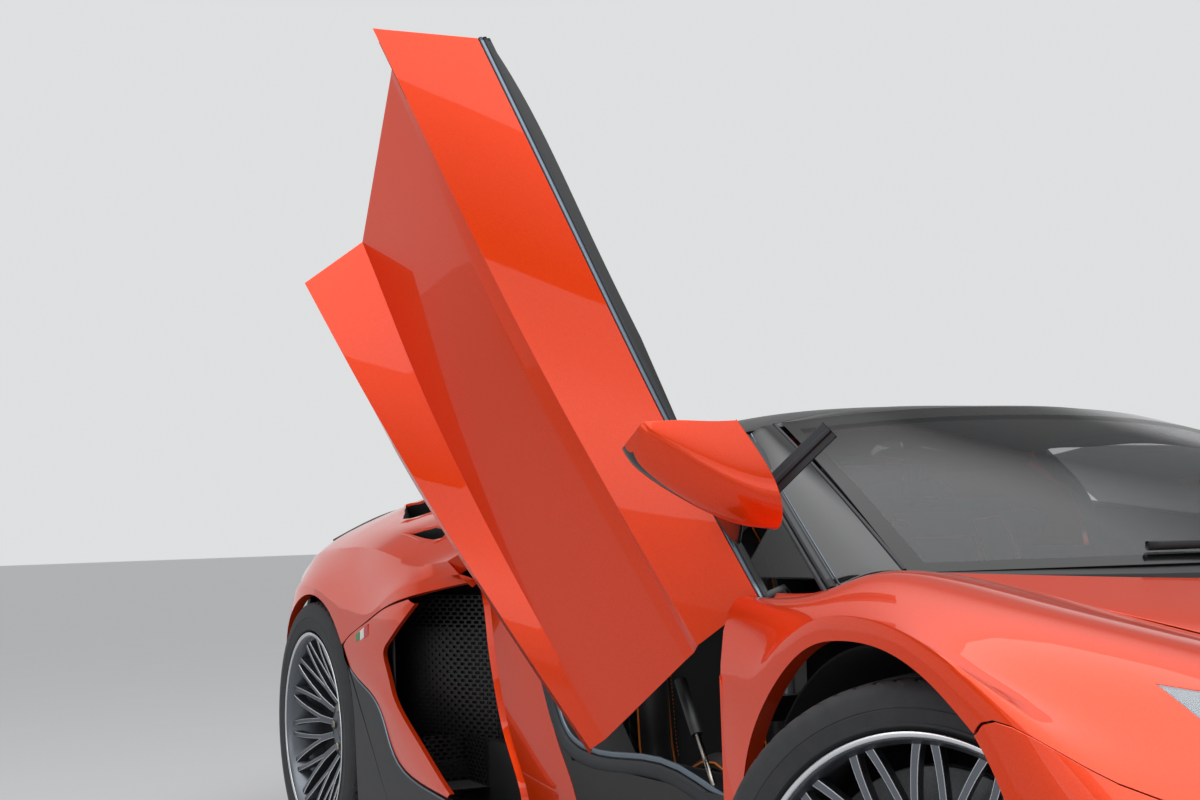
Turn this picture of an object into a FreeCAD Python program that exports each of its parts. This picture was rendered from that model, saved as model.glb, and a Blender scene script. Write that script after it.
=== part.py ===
# Two-seat mid-engined supercar with removable roof panels and doors that swing up.
# Millimetres. +Y points to the tail, +X to the car's left side, +Z up.
# The origin is on the ground, under the middle of the wheelbase, on the centre plane.
# Stored as photographed: right door up, left door shut, front wheels steered left.
import FreeCAD
import Part

import math
import os

V = FreeCAD.Vector
OUT = "parts"

# Driving dimensions
WHEELBASE = 2700.0
# The y values below are drawn with the axles here; place() carries them to the real wheelbase.
FRONT_AXLE_Y = -1350.0
REAR_AXLE_Y = 1350.0
CABIN_END_Y = 925.0

FRONT_TRACK = 1720.0
FRONT_TYRE_R = 330.0
FRONT_TYRE_W = 255.0
FRONT_SIDEWALL = 76.0
FRONT_RIM_R = FRONT_TYRE_R - FRONT_SIDEWALL
REAR_TRACK = 1690.0
REAR_TYRE_R = 355.0
REAR_TYRE_W = 330.0
REAR_SIDEWALL = 88.0
REAR_RIM_R = REAR_TYRE_R - REAR_SIDEWALL
FRONT_ARCH_R = 378.0
REAR_ARCH_R = 378.0
DISC_R = FRONT_RIM_R - 54.0
SPOKE_JUNCTIONS = 15

STEER_REST = 35.0
KINGPIN_X = FRONT_TRACK / 2 - 22.0
DOOR_OPEN = 62.2
HINGE_POINT = (-900.0, -908.0, 750.0)
HINGE_AZIMUTH = -4.4
HINGE_TILT = 19.4

SHUT_GAP = 6.0
SEAT_FIT = 0.3
SKIN = 24.0


def place(x, y, z):
    """A drawn point put in the car: each end moves with its axle, the cabin stretches between them."""
    longer = (WHEELBASE - REAR_AXLE_Y + FRONT_AXLE_Y) / 2
    share = max(-1.0, min(1.0, y / CABIN_END_Y))
    return V(x, y + longer * share, z)


def point(side, p):
    """A table point (x, y, z), with x measured outwards, on side +1 (left) or -1 (right)."""
    return place(side * p[0], p[1], p[2])


def planar(points):
    """True when all the points lie in one plane."""
    origin = points[0]
    normal = None
    for i in range(1, len(points) - 1):
        n = (points[i] - origin).cross(points[i + 1] - origin)
        if n.Length > 1e-3:
            normal = n.normalize()
            break
    if normal is None:
        return False
    return all(abs((p - origin).dot(normal)) < 1e-4 for p in points)


def faces_of(points):
    """One flat face, or two triangles for a twisted four-sided patch; repeated points are dropped."""
    kept = []
    for p in points:
        if not kept or (p - kept[-1]).Length > 1e-3:
            kept.append(p)
    if len(kept) > 1 and (kept[0] - kept[-1]).Length < 1e-3:
        kept.pop()
    if len(kept) < 3:
        return []
    if len(kept) == 3 or planar(kept):
        loops = [kept]
    else:
        loops = [[kept[0], kept[i], kept[i + 1]] for i in range(1, len(kept) - 1)]
    made = []
    for loop in loops:
        area = V(0, 0, 0)
        for i in range(1, len(loop) - 1):
            area = area + (loop[i] - loop[0]).cross(loop[i + 1] - loop[0])
        if area.Length > 1e-2:
            made.append(Part.Face(Part.makePolygon(loop + [loop[0]])))
    return made


def solid_of(polygons):
    """A closed solid from the polygons of its boundary."""
    faces = [f for polygon in polygons for f in faces_of(polygon)]
    solid = Part.Solid(Part.Shell(faces))
    if solid.Volume < 0:
        solid.reverse()
    return solid


def thick_grid(outer, inner):
    """The solid between two grids of points with the same rows and columns."""
    rows, cols = len(outer), len(outer[0])
    polygons = []
    for i in range(rows - 1):
        for j in range(cols - 1):
            polygons.append([outer[i][j], outer[i + 1][j], outer[i + 1][j + 1], outer[i][j + 1]])
            polygons.append([inner[i][j], inner[i + 1][j], inner[i + 1][j + 1], inner[i][j + 1]])
    for i in (0, rows - 1):
        for j in range(cols - 1):
            polygons.append([outer[i][j], outer[i][j + 1], inner[i][j + 1], inner[i][j]])
    for j in (0, cols - 1):
        for i in range(rows - 1):
            polygons.append([outer[i][j], outer[i + 1][j], inner[i + 1][j], inner[i][j]])
    return solid_of(polygons)


def panel(side, rows, inward):
    """A body panel: rows of (x, y, z) table points, and for each column its inward step (dx, dy, dz)."""
    outer = [[point(side, p) for p in row] for row in rows]
    inner = [
        [point(side, (p[0] + d[0], p[1] + d[1], p[2] + d[2])) for p, d in zip(row, inward)]
        for row in rows
    ]
    return thick_grid(outer, inner)


def block(low, high):
    """A box between two corners."""
    return Part.makeBox(high[0] - low[0], high[1] - low[1], high[2] - low[2], V(*low))


def box(low, high):
    """A box between two drawn corners."""
    return block(place(*low), place(*high))


def side_box(side, xs, low, high):
    """A box on one side of the car, between two distances from the centre plane and two (y, z) corners."""
    near, far = sorted((side * xs[0], side * xs[1]))
    return box((near, *low), (far, *high))


def slab(side, outline, x_out, x_in):
    """A plate with a side-view outline of (y, z) points, between two distances from the centre plane."""
    wire = Part.makePolygon([place(side * x_out, y, z) for y, z in outline + [outline[0]]])
    return Part.Face(wire).extrude(V(side * (x_in - x_out), 0, 0))


def bar(start, end, width, height):
    """A straight bar with a rectangular section between two points."""
    a, b = V(*start), V(*end)
    along = (b - a).normalize()
    aside = along.cross(V(0, 0, 1))
    if aside.Length < 1e-6:
        aside = V(1, 0, 0)
    aside.normalize()
    up = aside.cross(along)
    corners = [(-1, -1), (1, -1), (1, 1), (-1, 1)]
    loop = [a + aside * (u * width / 2) + up * (w * height / 2) for u, w in corners]
    return Part.Face(Part.makePolygon(loop + [loop[0]])).extrude(b - a)


def rod(start, end, radius):
    """A round rod between two points."""
    a, b = V(*start), V(*end)
    return Part.makeCylinder(radius, (b - a).Length, a, b - a)


def cut_back(shape, panel_shape, toward):
    """The part of a strut that ends at a fitting gap before a panel, seen in the direction toward."""
    pieces = shape.cut([panel_shape, panel_shape.translated(toward * -SEAT_FIT)]).Solids
    return min(pieces, key=lambda piece: piece.CenterOfMass.dot(toward))


def save(name, shapes):
    """Writes one node: a shape, or several shapes that don't touch."""
    shapes = shapes if isinstance(shapes, list) else [shapes]
    solids = [s for shape in shapes for s in shape.Solids]
    whole = solids[0] if len(solids) == 1 else Part.makeCompound(solids)
    bad = "" if all(s.isValid() and s.Volume > 0 for s in solids) else "  INVALID"
    print(f"{name:24s} solids {len(solids):3d} volume {sum(s.Volume for s in solids) / 1e6:9.2f} l{bad}")
    whole.exportStep(os.path.join(OUT, name + ".step"))
    return whole


def arch_point(axle_y, radius, centre_z, degrees, x):
    """A point of a wheel arch's lip; 0 degrees is ahead of the axle, 90 above it."""
    a = math.radians(degrees)
    return (x, axle_y - radius * math.cos(a), centre_z + radius * math.sin(a))


# Outer surface tables: (x outwards, y, z) in mm, for one side; the other side is mirrored.
# Front end, nose to windscreen: centre line, middle of the lid, edge of the lid.
LID_ROWS = [
    [(0, -2340, 500), (90, -2338, 501), (172, -2330, 499)],
    [(0, -2080, 592), (160, -2060, 596), (300, -2020, 588)],
    [(0, -1780, 670), (240, -1770, 676), (450, -1750, 660)],
    [(0, -1560, 724), (310, -1530, 730), (600, -1460, 737)],
    [(0, -1362, 768), (390, -1318, 779), (736, -1172, 800)],
]
# Front fender: crest and shoulder; its inner edge follows the lid, its outer edge the wheel arch.
FENDER_ROWS = [
    # crest, shoulder, arch angle, arch x
    [(600, -2125, 505), (925, -1815, 555), 45, 990],
    [(680, -1900, 602), (950, -1680, 634), 62, 1000],
    [(770, -1690, 690), (975, -1540, 692), 78, 1003],
    [(840, -1450, 757), (985, -1390, 726), 95, 1003],
    [(868, -1190, 788), (985, -1200, 712), 118, 1000],
    [(896, -1080, 769), (985, -1040, 680), 145, 992],
    [(902, -925, 760), (980, -925, 655), 165, 985],
]
FENDER_REAR_SEAM = [(862, -1105, 776), (868, -925, 768)]
FRONT_ARCH_Z = 335.0
FENDER_FOOT = [(-925, 640), (-925, 205), (-962, 205), (-972, 335), (-985, 433), (-990, 470)]

# Door: belt, shoulder line, groove, face top, face bottom, blade, lower edge; then the inner x values.
DOOR_ROWS = [
    [(900, -906, 765), (975, -908, 656), (962, -908, 622), (966, -908, 598),
     (962, -900, 290), (972, -896, 248), (952, -896, 212)],
    [(899, -600, 810), (990, -570, 702), (955, -570, 664), (962, -570, 622),
     (954, -560, 305), (995, -560, 258), (972, -560, 220)],
    [(870, -200, 860), (988, -150, 758), (930, -150, 712), (942, -150, 660),
     (926, -150, 330), (1008, -150, 276), (982, -150, 236)],
    [(840, 162, 904), (968, 273, 816), (900, 263, 757), (892, 256, 702),
     (886, 152, 360), (1004, 134, 292), (963, 130, 257)],
    [(833, 253, 915), (962, 379, 830), (892, 366, 768), (880, 358, 712),
     (876, 228, 368), (1002, 205, 296), (958, 200, 262)],
]
DOOR_INNER_X = [
    [872, 885, 878, 870, 864, 864, 864],
    [856, 872, 866, 864, 864, 864, 864],
    [828, 866, 864, 864, 862, 862, 862],
    [802, 864, 862, 862, 860, 862, 862],
    [808, 946, 878, 866, 859, 862, 862],
]
# Side window: foot on the door's belt, then its upper edge.
WINDOW_ROWS = [
    [(868, -770, 788.6), (749, -742, 914)],
    [(860, -380, 839.1), (628, -372, 1034)],
    [(834, 0, 885.6), (616, 0, 1056)],
    [(812, 205, 910.8), (626, 192, 1036)],
]

# Door mirror's head: its outline from the side (y, z), its outer and inner end, its outline from above (x, y).
MIRROR_SIDE = [(-865, 940), (-835, 914), (-700, 905), (-640, 915), (-640, 1006), (-760, 1012), (-830, 980)]
MIRROR_X = (1130, 958)
MIRROR_PLAN = [(958, -865), (1000, -840), (1075, -760), (1130, -670), (1130, -640), (958, -690)]

# Roof, hoop and buttresses behind the cabin: centre, middle, edge.
ROOF_ROWS = [
    [(0, -283.7, 1126), (300, -283.7, 1118), (558, -283.7, 1072)],
    [(0, -80, 1136), (310, -80, 1128), (572, -80, 1080)],
    [(0, 229.7, 1130), (320, 229.7, 1120), (594, 229.7, 1061)],
]
HOOP_ROWS = [
    [(0, 230, 1130), (320, 230, 1120), (600, 230, 1060), (635, 230, 1046)],
    [(0, 420, 1110), (330, 420, 1102), (610, 420, 1050), (655, 420, 1035)],
    [(0, 600, 1085), (340, 600, 1080), (600, 600, 1040), (648, 600, 1030)],
]
DECK_INNER_X = 482.0
COVER_ROWS = [
    [(0, 610, 1084), (250, 610, 1080), (474, 610, 1062)],
    [(0, 1000, 1066), (250, 1000, 1062), (474, 1000, 1046)],
    [(0, 1350, 1044), (250, 1350, 1040), (474, 1350, 1026)],
    [(0, 1700, 1014), (250, 1700, 1010), (474, 1700, 1000)],
    [(0, 2085, 976), (250, 2085, 972), (474, 2085, 964)],
]
# Rear quarter: deck edge, crest, upper crease, lower crease, lower edge (intake, wheel arch, bumper line).
QUARTER_ROWS = [
    [(635, 230, 1046), (823, 274, 918), (956, 402, 822), (930, 396, 790), (888, 388, 775)],
    [(655, 420, 1035), (845, 440, 916), (966, 560, 814), (984, 560, 774), (985, 556, 742)],
    [(648, 600, 1030), (866, 740, 911), (970, 740, 834), (1002, 742, 724), (1003, 740, 706)],
    [(630, 850, 1024), (876, 860, 908), (966, 880, 850), (1004, 872, 690), (1004, 862, 672)],
    [(622, 1000, 1020), (880, 1000, 907), (958, 1034, 857), (1004, 1010, 704), (1004, 1000, 634)],
    [(621, 1090, 1018), (879, 1090, 907), (957, 1100, 857), (1005, 1080, 713), "arch 42"],
    [(620, 1170, 1014), (877, 1160, 906), (955, 1170, 856), (1006, 1170, 727), "arch 60"],
    [(619, 1260, 1010), (872, 1255, 905), (952, 1260, 852), (1006, 1260, 744), "arch 75"],
    [(619, 1350, 1004), (864, 1350, 901), (948, 1350, 847), (1004, 1350, 754), "arch 90"],
    [(628, 1530, 980), (856, 1530, 886), (930, 1530, 836), (990, 1525, 745), "arch 114"],
    [(640, 1700, 945), (852, 1700, 856), (905, 1695, 800), (955, 1690, 712), "arch 138"],
    [(648, 1870, 922), (812, 1870, 846), (868, 1860, 784), (915, 1840, 700), "arch 157"],
    [(655, 2050, 893), (762, 2050, 838), (818, 2050, 776), (852, 2050, 696), (890, 1960, 500)],
    [(650, 2252, 857), (716, 2248, 812), (764, 2243, 748), (792, 2236, 676), (822, 2200, 500)],
]
QUARTER_ARCH_X = [1006, 1006, 1006, 1006, 1004, 994, 976]
QUARTER_INWARD = [(0, 0, -26), (-8, 0, -24), (-20, 0, -14), (-26, 0, -6), (-26, 0, 0)]
REAR_ARCH_Z = 352.0
# Plate ahead of the rear wheel, behind the side intake: y, z.
QUARTER_FOOT = [
    (1062, 598), (1000, 645), (862, 684), (740, 718), (600, 742), (560, 722), (640, 660), (722, 618),
    (738, 592), (668, 487), (369, 328), (306, 296), (306, 208), (964, 208), (972, 352), (998, 490),
]
# Nose: columns from the centre to the arch, rows from the lid's front edge down to the splitter.
NOSE_ROWS = [
    [(0, -2348, 499), (174, -2338, 497), (602, -2133, 503), (928, -1823, 552), (988, -1625, 597)],
    [(0, -2432, 440), (200, -2420, 440), (650, -2205, 442), (944, -1880, 480), (992, -1672, 520)],
    [(0, -2424, 410), (200, -2410, 410), (650, -2195, 412), (946, -1882, 430), (992, -1710, 430)],
    [(0, -2404, 236), (220, -2396, 236), (680, -2212, 236), (958, -1900, 236), (988, -1722, 236)],
    [(0, -2440, 172), (260, -2432, 172), (724, -2250, 172), (978, -1925, 172), (990, -1728, 172)],
    [(0, -2440, 138), (260, -2432, 138), (724, -2250, 138), (978, -1925, 138), (990, -1728, 138)],
]
NOSE_INWARD = [(0, 1), (-0.1, 1), (-0.45, 0.9), (-0.85, 0.5), (-1, 0)]
NOSE_DEPTH = [(4, -28), (30, -10), (28, 0), (28, 0), (28, 0), (28, 0)]
NOSE_INTAKE = [(300, 396), (800, 412), (872, 256), (350, 256)]
HEADLAMP = [(792, -1768), (560, -1990), (430, -2178), (520, -2152), (690, -2030), (852, -1868)]
# Tail: centre, outer part of the fascia, edge against the quarter.
FASCIA_ROWS = [
    [(0, 2328, 925), (450, 2312, 898), (628, 2262, 846)],
    [(0, 2352, 830), (450, 2336, 822), (690, 2256, 790)],
    [(0, 2357, 710), (450, 2340, 706), (742, 2250, 700)],
    [(0, 2352, 498), (450, 2332, 498), (786, 2212, 498)],
]
TAIL_ROWS = [
    [(0, 2352, 497), (450, 2332, 497), (821, 2200, 493), (884, 1960, 493), (972, 1704, 493)],
    [(0, 2300, 350), (450, 2290, 350), (804, 2184, 350), (872, 1950, 350), (966, 1732, 350)],
    [(0, 2240, 250), (450, 2235, 250), (776, 2140, 235), (850, 1945, 215), (950, 1750, 208)],
]
TAIL_INWARD = [(0, -1), (-0.1, -1), (-0.7, -0.7), (-1, -0.1), (-1, 0)]
TAIL_LAMP = [(380, 800), (640, 792), (690, 740), (470, 735)]
TAIL_GRILLE = [(40, 700), (380, 700), (480, 640), (720, 640), (740, 540), (60, 540)]
EXHAUST_Z = 400.0

os.makedirs(OUT, exist_ok=True)


def scaled(side, rows, offset):
    """A panel whose inner grid is worked out per row and column by offset(i, j)."""
    outer = [[point(side, p) for p in row] for row in rows]
    inner = []
    for i, row in enumerate(rows):
        steps = [offset(i, j) for j in range(len(row))]
        inner.append([point(side, (p[0] + d[0], p[1] + d[1], p[2] + d[2])) for p, d in zip(row, steps)])
    return thick_grid(outer, inner)


def both(build):
    """The left and the right version of a piece."""
    return [build(1), build(-1)]


def mirrored_row(row):
    """A full-width row from a half one that starts on the centre plane."""
    return [(-p[0], p[1], p[2]) for p in reversed(row[1:])] + list(row)


def prism_z(side, outline, inset, low, high):
    """An upright prism with a plan outline of (x, y) points, shrunk by an inset."""
    loop = [place(side * x, y, low) for x, y in outline]
    wire = Part.makePolygon(loop + [loop[0]])
    if inset:
        wire = wire.makeOffset2D(-inset, 2)
    return Part.Face(wire).extrude(V(0, 0, high - low))


def prism_y(side, outline, inset, front, back):
    """A prism along the car with a front-view outline of (x, z) points, shrunk by an inset."""
    loop = [place(side * x, front, z) for x, z in outline]
    wire = Part.makePolygon(loop + [loop[0]])
    if inset:
        wire = wire.makeOffset2D(-inset, 2)
    return Part.Face(wire).extrude(V(0, back - front, 0))


# Front lid, hinged on a line through the rear corners of its edge
# the lid's lower edge is drawn in, so that it clears the fenders as it lifts
LID_DRAW_IN = [(12, -5.1), (0, 0), (0, 0), (0, 0), (-12, -5.1)]
save("front_lid", scaled(1, [mirrored_row(r) for r in LID_ROWS], lambda i, j: (*LID_DRAW_IN[j], -20)))

# Windscreen frame: cowl, two pillars and header in one piece
PILLAR_ROWS = [
    # outer edge, inner edge
    [(856, -1088, 778), (752, -1140, 802)],
    [(730, -720, 934), (636, -742, 956)],
    [(592, -372, 1062), (512, -352, 1086)],
]
COWL_ROWS = [
    [(0, -1354, 768), (390, -1310, 776), (745, -1158, 796)],
    [(0, -1282, 798), (396, -1256, 800), (752, -1140, 800)],
]
HEADER_ROWS = [
    [(0, -432, 1112), (300, -420, 1103), (520, -384, 1078)],
    [(0, -284, 1126), (300, -284, 1118), (556, -284, 1072)],
]
GLASS_ROWS = [
    [(0, -1282, 798.3), (396, -1256, 800.3), (746, -1142, 800.3)],
    [(0, -870, 970), (350, -850, 966), (640, -760, 959)],
    [(0, -436, 1117), (300, -424, 1108), (508, -368, 1089)],
]


def pillar(side):
    """One windscreen pillar."""
    return panel(side, PILLAR_ROWS, [(-6, 6, -34), (-6, 6, -34)])


cowl = scaled(1, [mirrored_row(r) for r in COWL_ROWS], lambda i, j: (0, 0, -30))
header = scaled(1, [mirrored_row(r) for r in HEADER_ROWS], lambda i, j: (0, 0, -26))
LUG_X = (590, 650)
PILLAR_FOOT = [(720, -1165), (752, -1152), (810, -1112), (800, -1085), (720, -1135)]
lugs = both(lambda s: prism_z(s, PILLAR_FOOT, 0, 768, 778))
for side in (1, -1):
    a, b = LID_ROWS[-1][1], LID_ROWS[-1][2]
    edge = [(x, a[1] + (b[1] - a[1]) * (x - a[0]) / (b[0] - a[0]) + 2 * SEAT_FIT) for x in LUG_X]
    lugs.append(prism_z(side, edge + [(LUG_X[1], edge[1][1] + 16), (LUG_X[0], edge[0][1] + 16)], 0, 772, 784))
frame = save("windscreen_frame", cowl.fuse([header] + both(pillar) + lugs))
save("windscreen_glass", scaled(1, [mirrored_row(r) for r in GLASS_ROWS], lambda i, j: (0, 0, 6)))


# Front fenders, with the headlamp cut out and set in with a gap
def fender_rows():
    """The fender's rows: inner edge, crest, shoulder and arch lip."""
    seams = [row[2] for row in LID_ROWS] + FENDER_REAR_SEAM
    rows = []
    for (crest, shoulder, angle, x), seam in zip(FENDER_ROWS, seams):
        inner = (seam[0] + (SHUT_GAP if seam in [r[2] for r in LID_ROWS] else 0), seam[1], seam[2])
        rows.append([inner, crest, shoulder, arch_point(FRONT_AXLE_Y, FRONT_ARCH_R, FRONT_ARCH_Z, angle, x)])
    return rows


def front_side(side):
    """One front fender and its headlamp."""
    skin = panel(side, fender_rows(), [(0, 0, -SKIN), (-4, 0, -SKIN), (-26, 0, -6), (-26, 0, 0)])
    foot = slab(side, FENDER_FOOT, 984, 958)
    whole = skin.fuse(foot)
    lamp = skin.common(prism_z(side, HEADLAMP, SEAT_FIT, 300, 900))
    return whole.cut(prism_z(side, HEADLAMP, 0, 300, 900)), lamp


fender_left, lamp_left = front_side(1)
fender_right, lamp_right = front_side(-1)
fenders = {1: save("front_fender_left", fender_left), -1: save("front_fender_right", fender_right)}
save("headlamps", [lamp_left, lamp_right])

# Nose with its intakes, splitter and meshes
NOSE_FULL = [mirrored_row(r) for r in NOSE_ROWS]
INWARD_FULL = [(-a, b) for a, b in reversed(NOSE_INWARD[1:])] + NOSE_INWARD
nose = scaled(1, NOSE_FULL, lambda i, j: (
    INWARD_FULL[j][0] * NOSE_DEPTH[i][0], INWARD_FULL[j][1] * NOSE_DEPTH[i][0], NOSE_DEPTH[i][1]))
meshes = []
for side in (1, -1):
    meshes.append(nose.common(prism_y(side, NOSE_INTAKE, SEAT_FIT, -2600, -1950)).translated(V(0, 14, 0)))
    nose = nose.cut(prism_y(side, NOSE_INTAKE, 0, -2600, -1950))
nose = save("front_bumper", nose)
grilles = meshes


# Doors, each hinged on a pin at the foot of the windscreen pillar
HINGE_SPAN = (-62.0, 5.0)
HINGE_NOTCH_R = 18.0
HINGE_PIN_R = 12.0


def hinge_axis(side):
    """A point on the door's hinge line and its direction; a positive turn opens the left door."""
    azimuth, tilt = math.radians(HINGE_AZIMUTH), math.radians(HINGE_TILT)
    axis = V(math.cos(azimuth) * math.cos(tilt), -side * math.sin(azimuth) * math.cos(tilt), -side * math.sin(tilt))
    return place(side * -HINGE_POINT[0], HINGE_POINT[1], HINGE_POINT[2]), axis


def hinge_rod(side, radius, start, end):
    """A rod on the hinge line, between two distances outwards from the hinge point."""
    centre, axis = hinge_axis(side)
    out = axis * side
    return Part.makeCylinder(radius, end - start, centre + out * start, out)


def door(side):
    """One door: its outer skin and the inner wall one door's thickness behind it."""
    outer = [[point(side, p) for p in row] for row in DOOR_ROWS]
    inner = [[point(side, (x, p[1], p[2])) for p, x in zip(row, xs)] for row, xs in zip(DOOR_ROWS, DOOR_INNER_X)]
    notch = hinge_rod(side, HINGE_NOTCH_R, HINGE_SPAN[0] - 40, HINGE_SPAN[1])
    return thick_grid(outer, inner).cut(notch)


def window(side):
    """One side window, standing on the door's belt."""
    return panel(side, WINDOW_ROWS, [(-5, 0, 0), (-4, 0, -3)])


def mirror(side):
    """One door mirror: a stalk from the belt and a head that sweeps back outwards."""
    stalk = bar(place(side * 890, -775, 800), place(side * 985, -755, 925), 60, 16)
    head = slab(side, MIRROR_SIDE, *MIRROR_X).common(prism_z(side, MIRROR_PLAN, 0, 800, 1100))
    foot = slab(side, [(-805, 700), (-755, 700), (-755, 806), (-805, 806)], 895, 872)
    foot = cut_back(foot, doors[side], V(0, 0, -1))
    return stalk.fuse([head, foot])


def rotated(shape, side, angle):
    """A door piece turned about the door's hinge; a positive angle opens it."""
    centre, axis = hinge_axis(side)
    turned = shape.copy()
    turned.rotate(centre, axis, angle)
    return turned


doors = {1: door(1), -1: door(-1)}
save("door_left", doors[1])
save("door_window_left", window(1))
save("mirror_left", mirror(1))
save("door_right", rotated(doors[-1], -1, DOOR_OPEN))
save("mirror_right", rotated(mirror(-1), -1, DOOR_OPEN))

# Roof panels, hoop, buttresses and rear deck
roof = [scaled(s, [[(8 if p[0] == 0 else p[0], p[1], p[2]) for p in r] for r in ROOF_ROWS],
               lambda i, j: (0, 0, -22)) for s in (1, -1)]
save("roof_panels", roof)
hoop = scaled(1, [mirrored_row(r) for r in HOOP_ROWS], lambda i, j: (0, 0, -26))


def cover_edge_z(y):
    """The height of the engine cover's side edge."""
    edge = [row[2] for row in COVER_ROWS]
    for a, b in zip(edge, edge[1:]):
        if y <= b[1]:
            break
    return a[2] + (b[2] - a[2]) * (y - a[1]) / (b[1] - a[1])


def buttress(side):
    """The deck between the engine cover and the quarter."""
    rows = [[(DECK_INNER_X, edge[1], cover_edge_z(edge[1])), edge] for edge in [r[0] for r in QUARTER_ROWS[2:-1]]]
    return scaled(side, rows, lambda i, j: (0, 0, -26))


COVER_LUG_X = (200, 260)
lugs = both(lambda s: side_box(s, COVER_LUG_X, (599, 1058), (609.7, 1072)))
deck = save("rear_deck", hoop.fuse(both(buttress) + lugs))
save("engine_cover", scaled(1, [mirrored_row(r) for r in COVER_ROWS], lambda i, j: (0, 0, -24)))


# Rear wing, flat on the deck
WING_ROWS = [
    [(0, 2100, 956), (400, 2098, 946), (640, 2088, 886)],
    [(0, 2364, 984), (400, 2350, 962), (640, 2296, 870)],
]
wing = save("rear_wing", scaled(1, [mirrored_row(r) for r in WING_ROWS], lambda i, j: (0, 0, -14)))


# Rear quarters
def quarter_rows():
    """The quarter's rows, with the arch points worked out."""
    rows = []
    arch_x = iter(QUARTER_ARCH_X)
    for row in QUARTER_ROWS:
        low = row[-1]
        if isinstance(low, str):
            low = arch_point(REAR_AXLE_Y, REAR_ARCH_R, REAR_ARCH_Z, float(low.split()[1]), next(arch_x))
        rows.append([*row[:-1], low])
    return rows


def quarter(side):
    """One rear quarter with the foot that closes it ahead of the wheel."""
    inward = QUARTER_INWARD
    # along the door's rear edge the inner side steps back, clear of the door
    back = [0, 36, 12, 8, 0]
    skin = scaled(side, quarter_rows(), lambda i, j: (inward[j][0], back[j] if i == 0 else 0, inward[j][2]))
    foot = slab(side, QUARTER_FOOT, 1003, 979)
    return skin.fuse(foot)


quarters = {1: save("rear_quarter_left", quarter(1)), -1: save("rear_quarter_right", quarter(-1))}

# Tail: fascia and lower bumper, lamps and meshes
fascia = scaled(1, [mirrored_row(r) for r in FASCIA_ROWS], lambda i, j: (0, -26, 0))
TAIL_FULL = [mirrored_row(r) for r in TAIL_ROWS]
TAIL_INWARD_FULL = [(-a, b) for a, b in reversed(TAIL_INWARD[1:])] + TAIL_INWARD
lower = scaled(1, TAIL_FULL, lambda i, j: (26 * TAIL_INWARD_FULL[j][0], 26 * TAIL_INWARD_FULL[j][1], 0))
lamps = []
for side in (1, -1):
    lamps.append(fascia.common(prism_y(side, TAIL_LAMP, SEAT_FIT, 2000, 2500)))
    grilles.append(fascia.common(prism_y(side, TAIL_GRILLE, SEAT_FIT, 2000, 2500)).translated(V(0, -12, 0)))
    fascia = fascia.cut(prism_y(side, TAIL_LAMP, 0, 2000, 2500))
    fascia = fascia.cut(prism_y(side, TAIL_GRILLE, 0, 2000, 2500))
outlet = prism_y(1, [(-190, 345), (190, 345), (150, 465), (-150, 465)], 0, 2000, 2500)
lower = lower.cut(outlet)
save("rear_bumper", [fascia, lower])
save("tail_lamps", lamps)

# Cabin tub: floor, sills, bulkheads and the jambs behind the doors
TUB_Z = (125.0, 165.0)
SILL_X = (700.0, 852.0)
SILL_TOP = 400.0
TUB_FRONT = -970.0
BULKHEAD_Y = (560.0, 600.0)
JAMB_WALL = [(-40, 395), (90, 520), (230, 800), (565, 800), (565, 395)]
JAMB = [(-40, 395), (90, 520), (230, 800), (430, 800), (400, 640), (300, 395)]
JAMB_X = 770.0
tub = box((-700, TUB_FRONT, TUB_Z[0]), (700, BULKHEAD_Y[1], TUB_Z[1]))
tub = tub.fuse(box((-842, TUB_FRONT, TUB_Z[0]), (842, -930, 700)))
tub = tub.fuse(box((-790, BULKHEAD_Y[0], TUB_Z[0]), (790, BULKHEAD_Y[1], 880)))
for side in (1, -1):
    tub = tub.fuse(side_box(side, SILL_X, (-940, TUB_Z[0]), (BULKHEAD_Y[1], SILL_TOP)))
    tub = tub.fuse(slab(side, JAMB_WALL, JAMB_X, SILL_X[0]))
    tub = tub.fuse(slab(side, JAMB, SILL_X[1], JAMB_X - 1))
    # hinge pin with its web, and the struts under the pillar, fender, hoop and quarter
    centre, axis = hinge_axis(side)
    root = centre + axis * side * (HINGE_SPAN[0] + 8)
    tub = tub.fuse(hinge_rod(side, HINGE_PIN_R, HINGE_SPAN[0], HINGE_SPAN[1] - SEAT_FIT))
    tub = tub.fuse(bar(place(side * 822, -945, 690), root, 22, 22))
    tub = tub.fuse(cut_back(slab(side, [(-965, 690), (-935, 690), (-935, 1000), (-965, 1000)], 780, 740), frame, V(0, 0, 1)))
    tub = tub.fuse(cut_back(slab(side, [(-965, 560), (-935, 560), (-935, 600), (-965, 600)], 1100, 830),
                            fenders[side], V(side, 0, 0)))
    tub = tub.fuse(cut_back(slab(side, [(565, 870), (595, 870), (595, 1200), (565, 1200)], 500, 460), deck, V(0, 0, 1)))
    tub = tub.fuse(cut_back(slab(side, [(566, 300), (596, 300), (596, 340), (566, 340)], 1100, 840),
                            quarters[side], V(side, 0, 0)))
save("monocoque", tub.removeSplitter())

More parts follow.
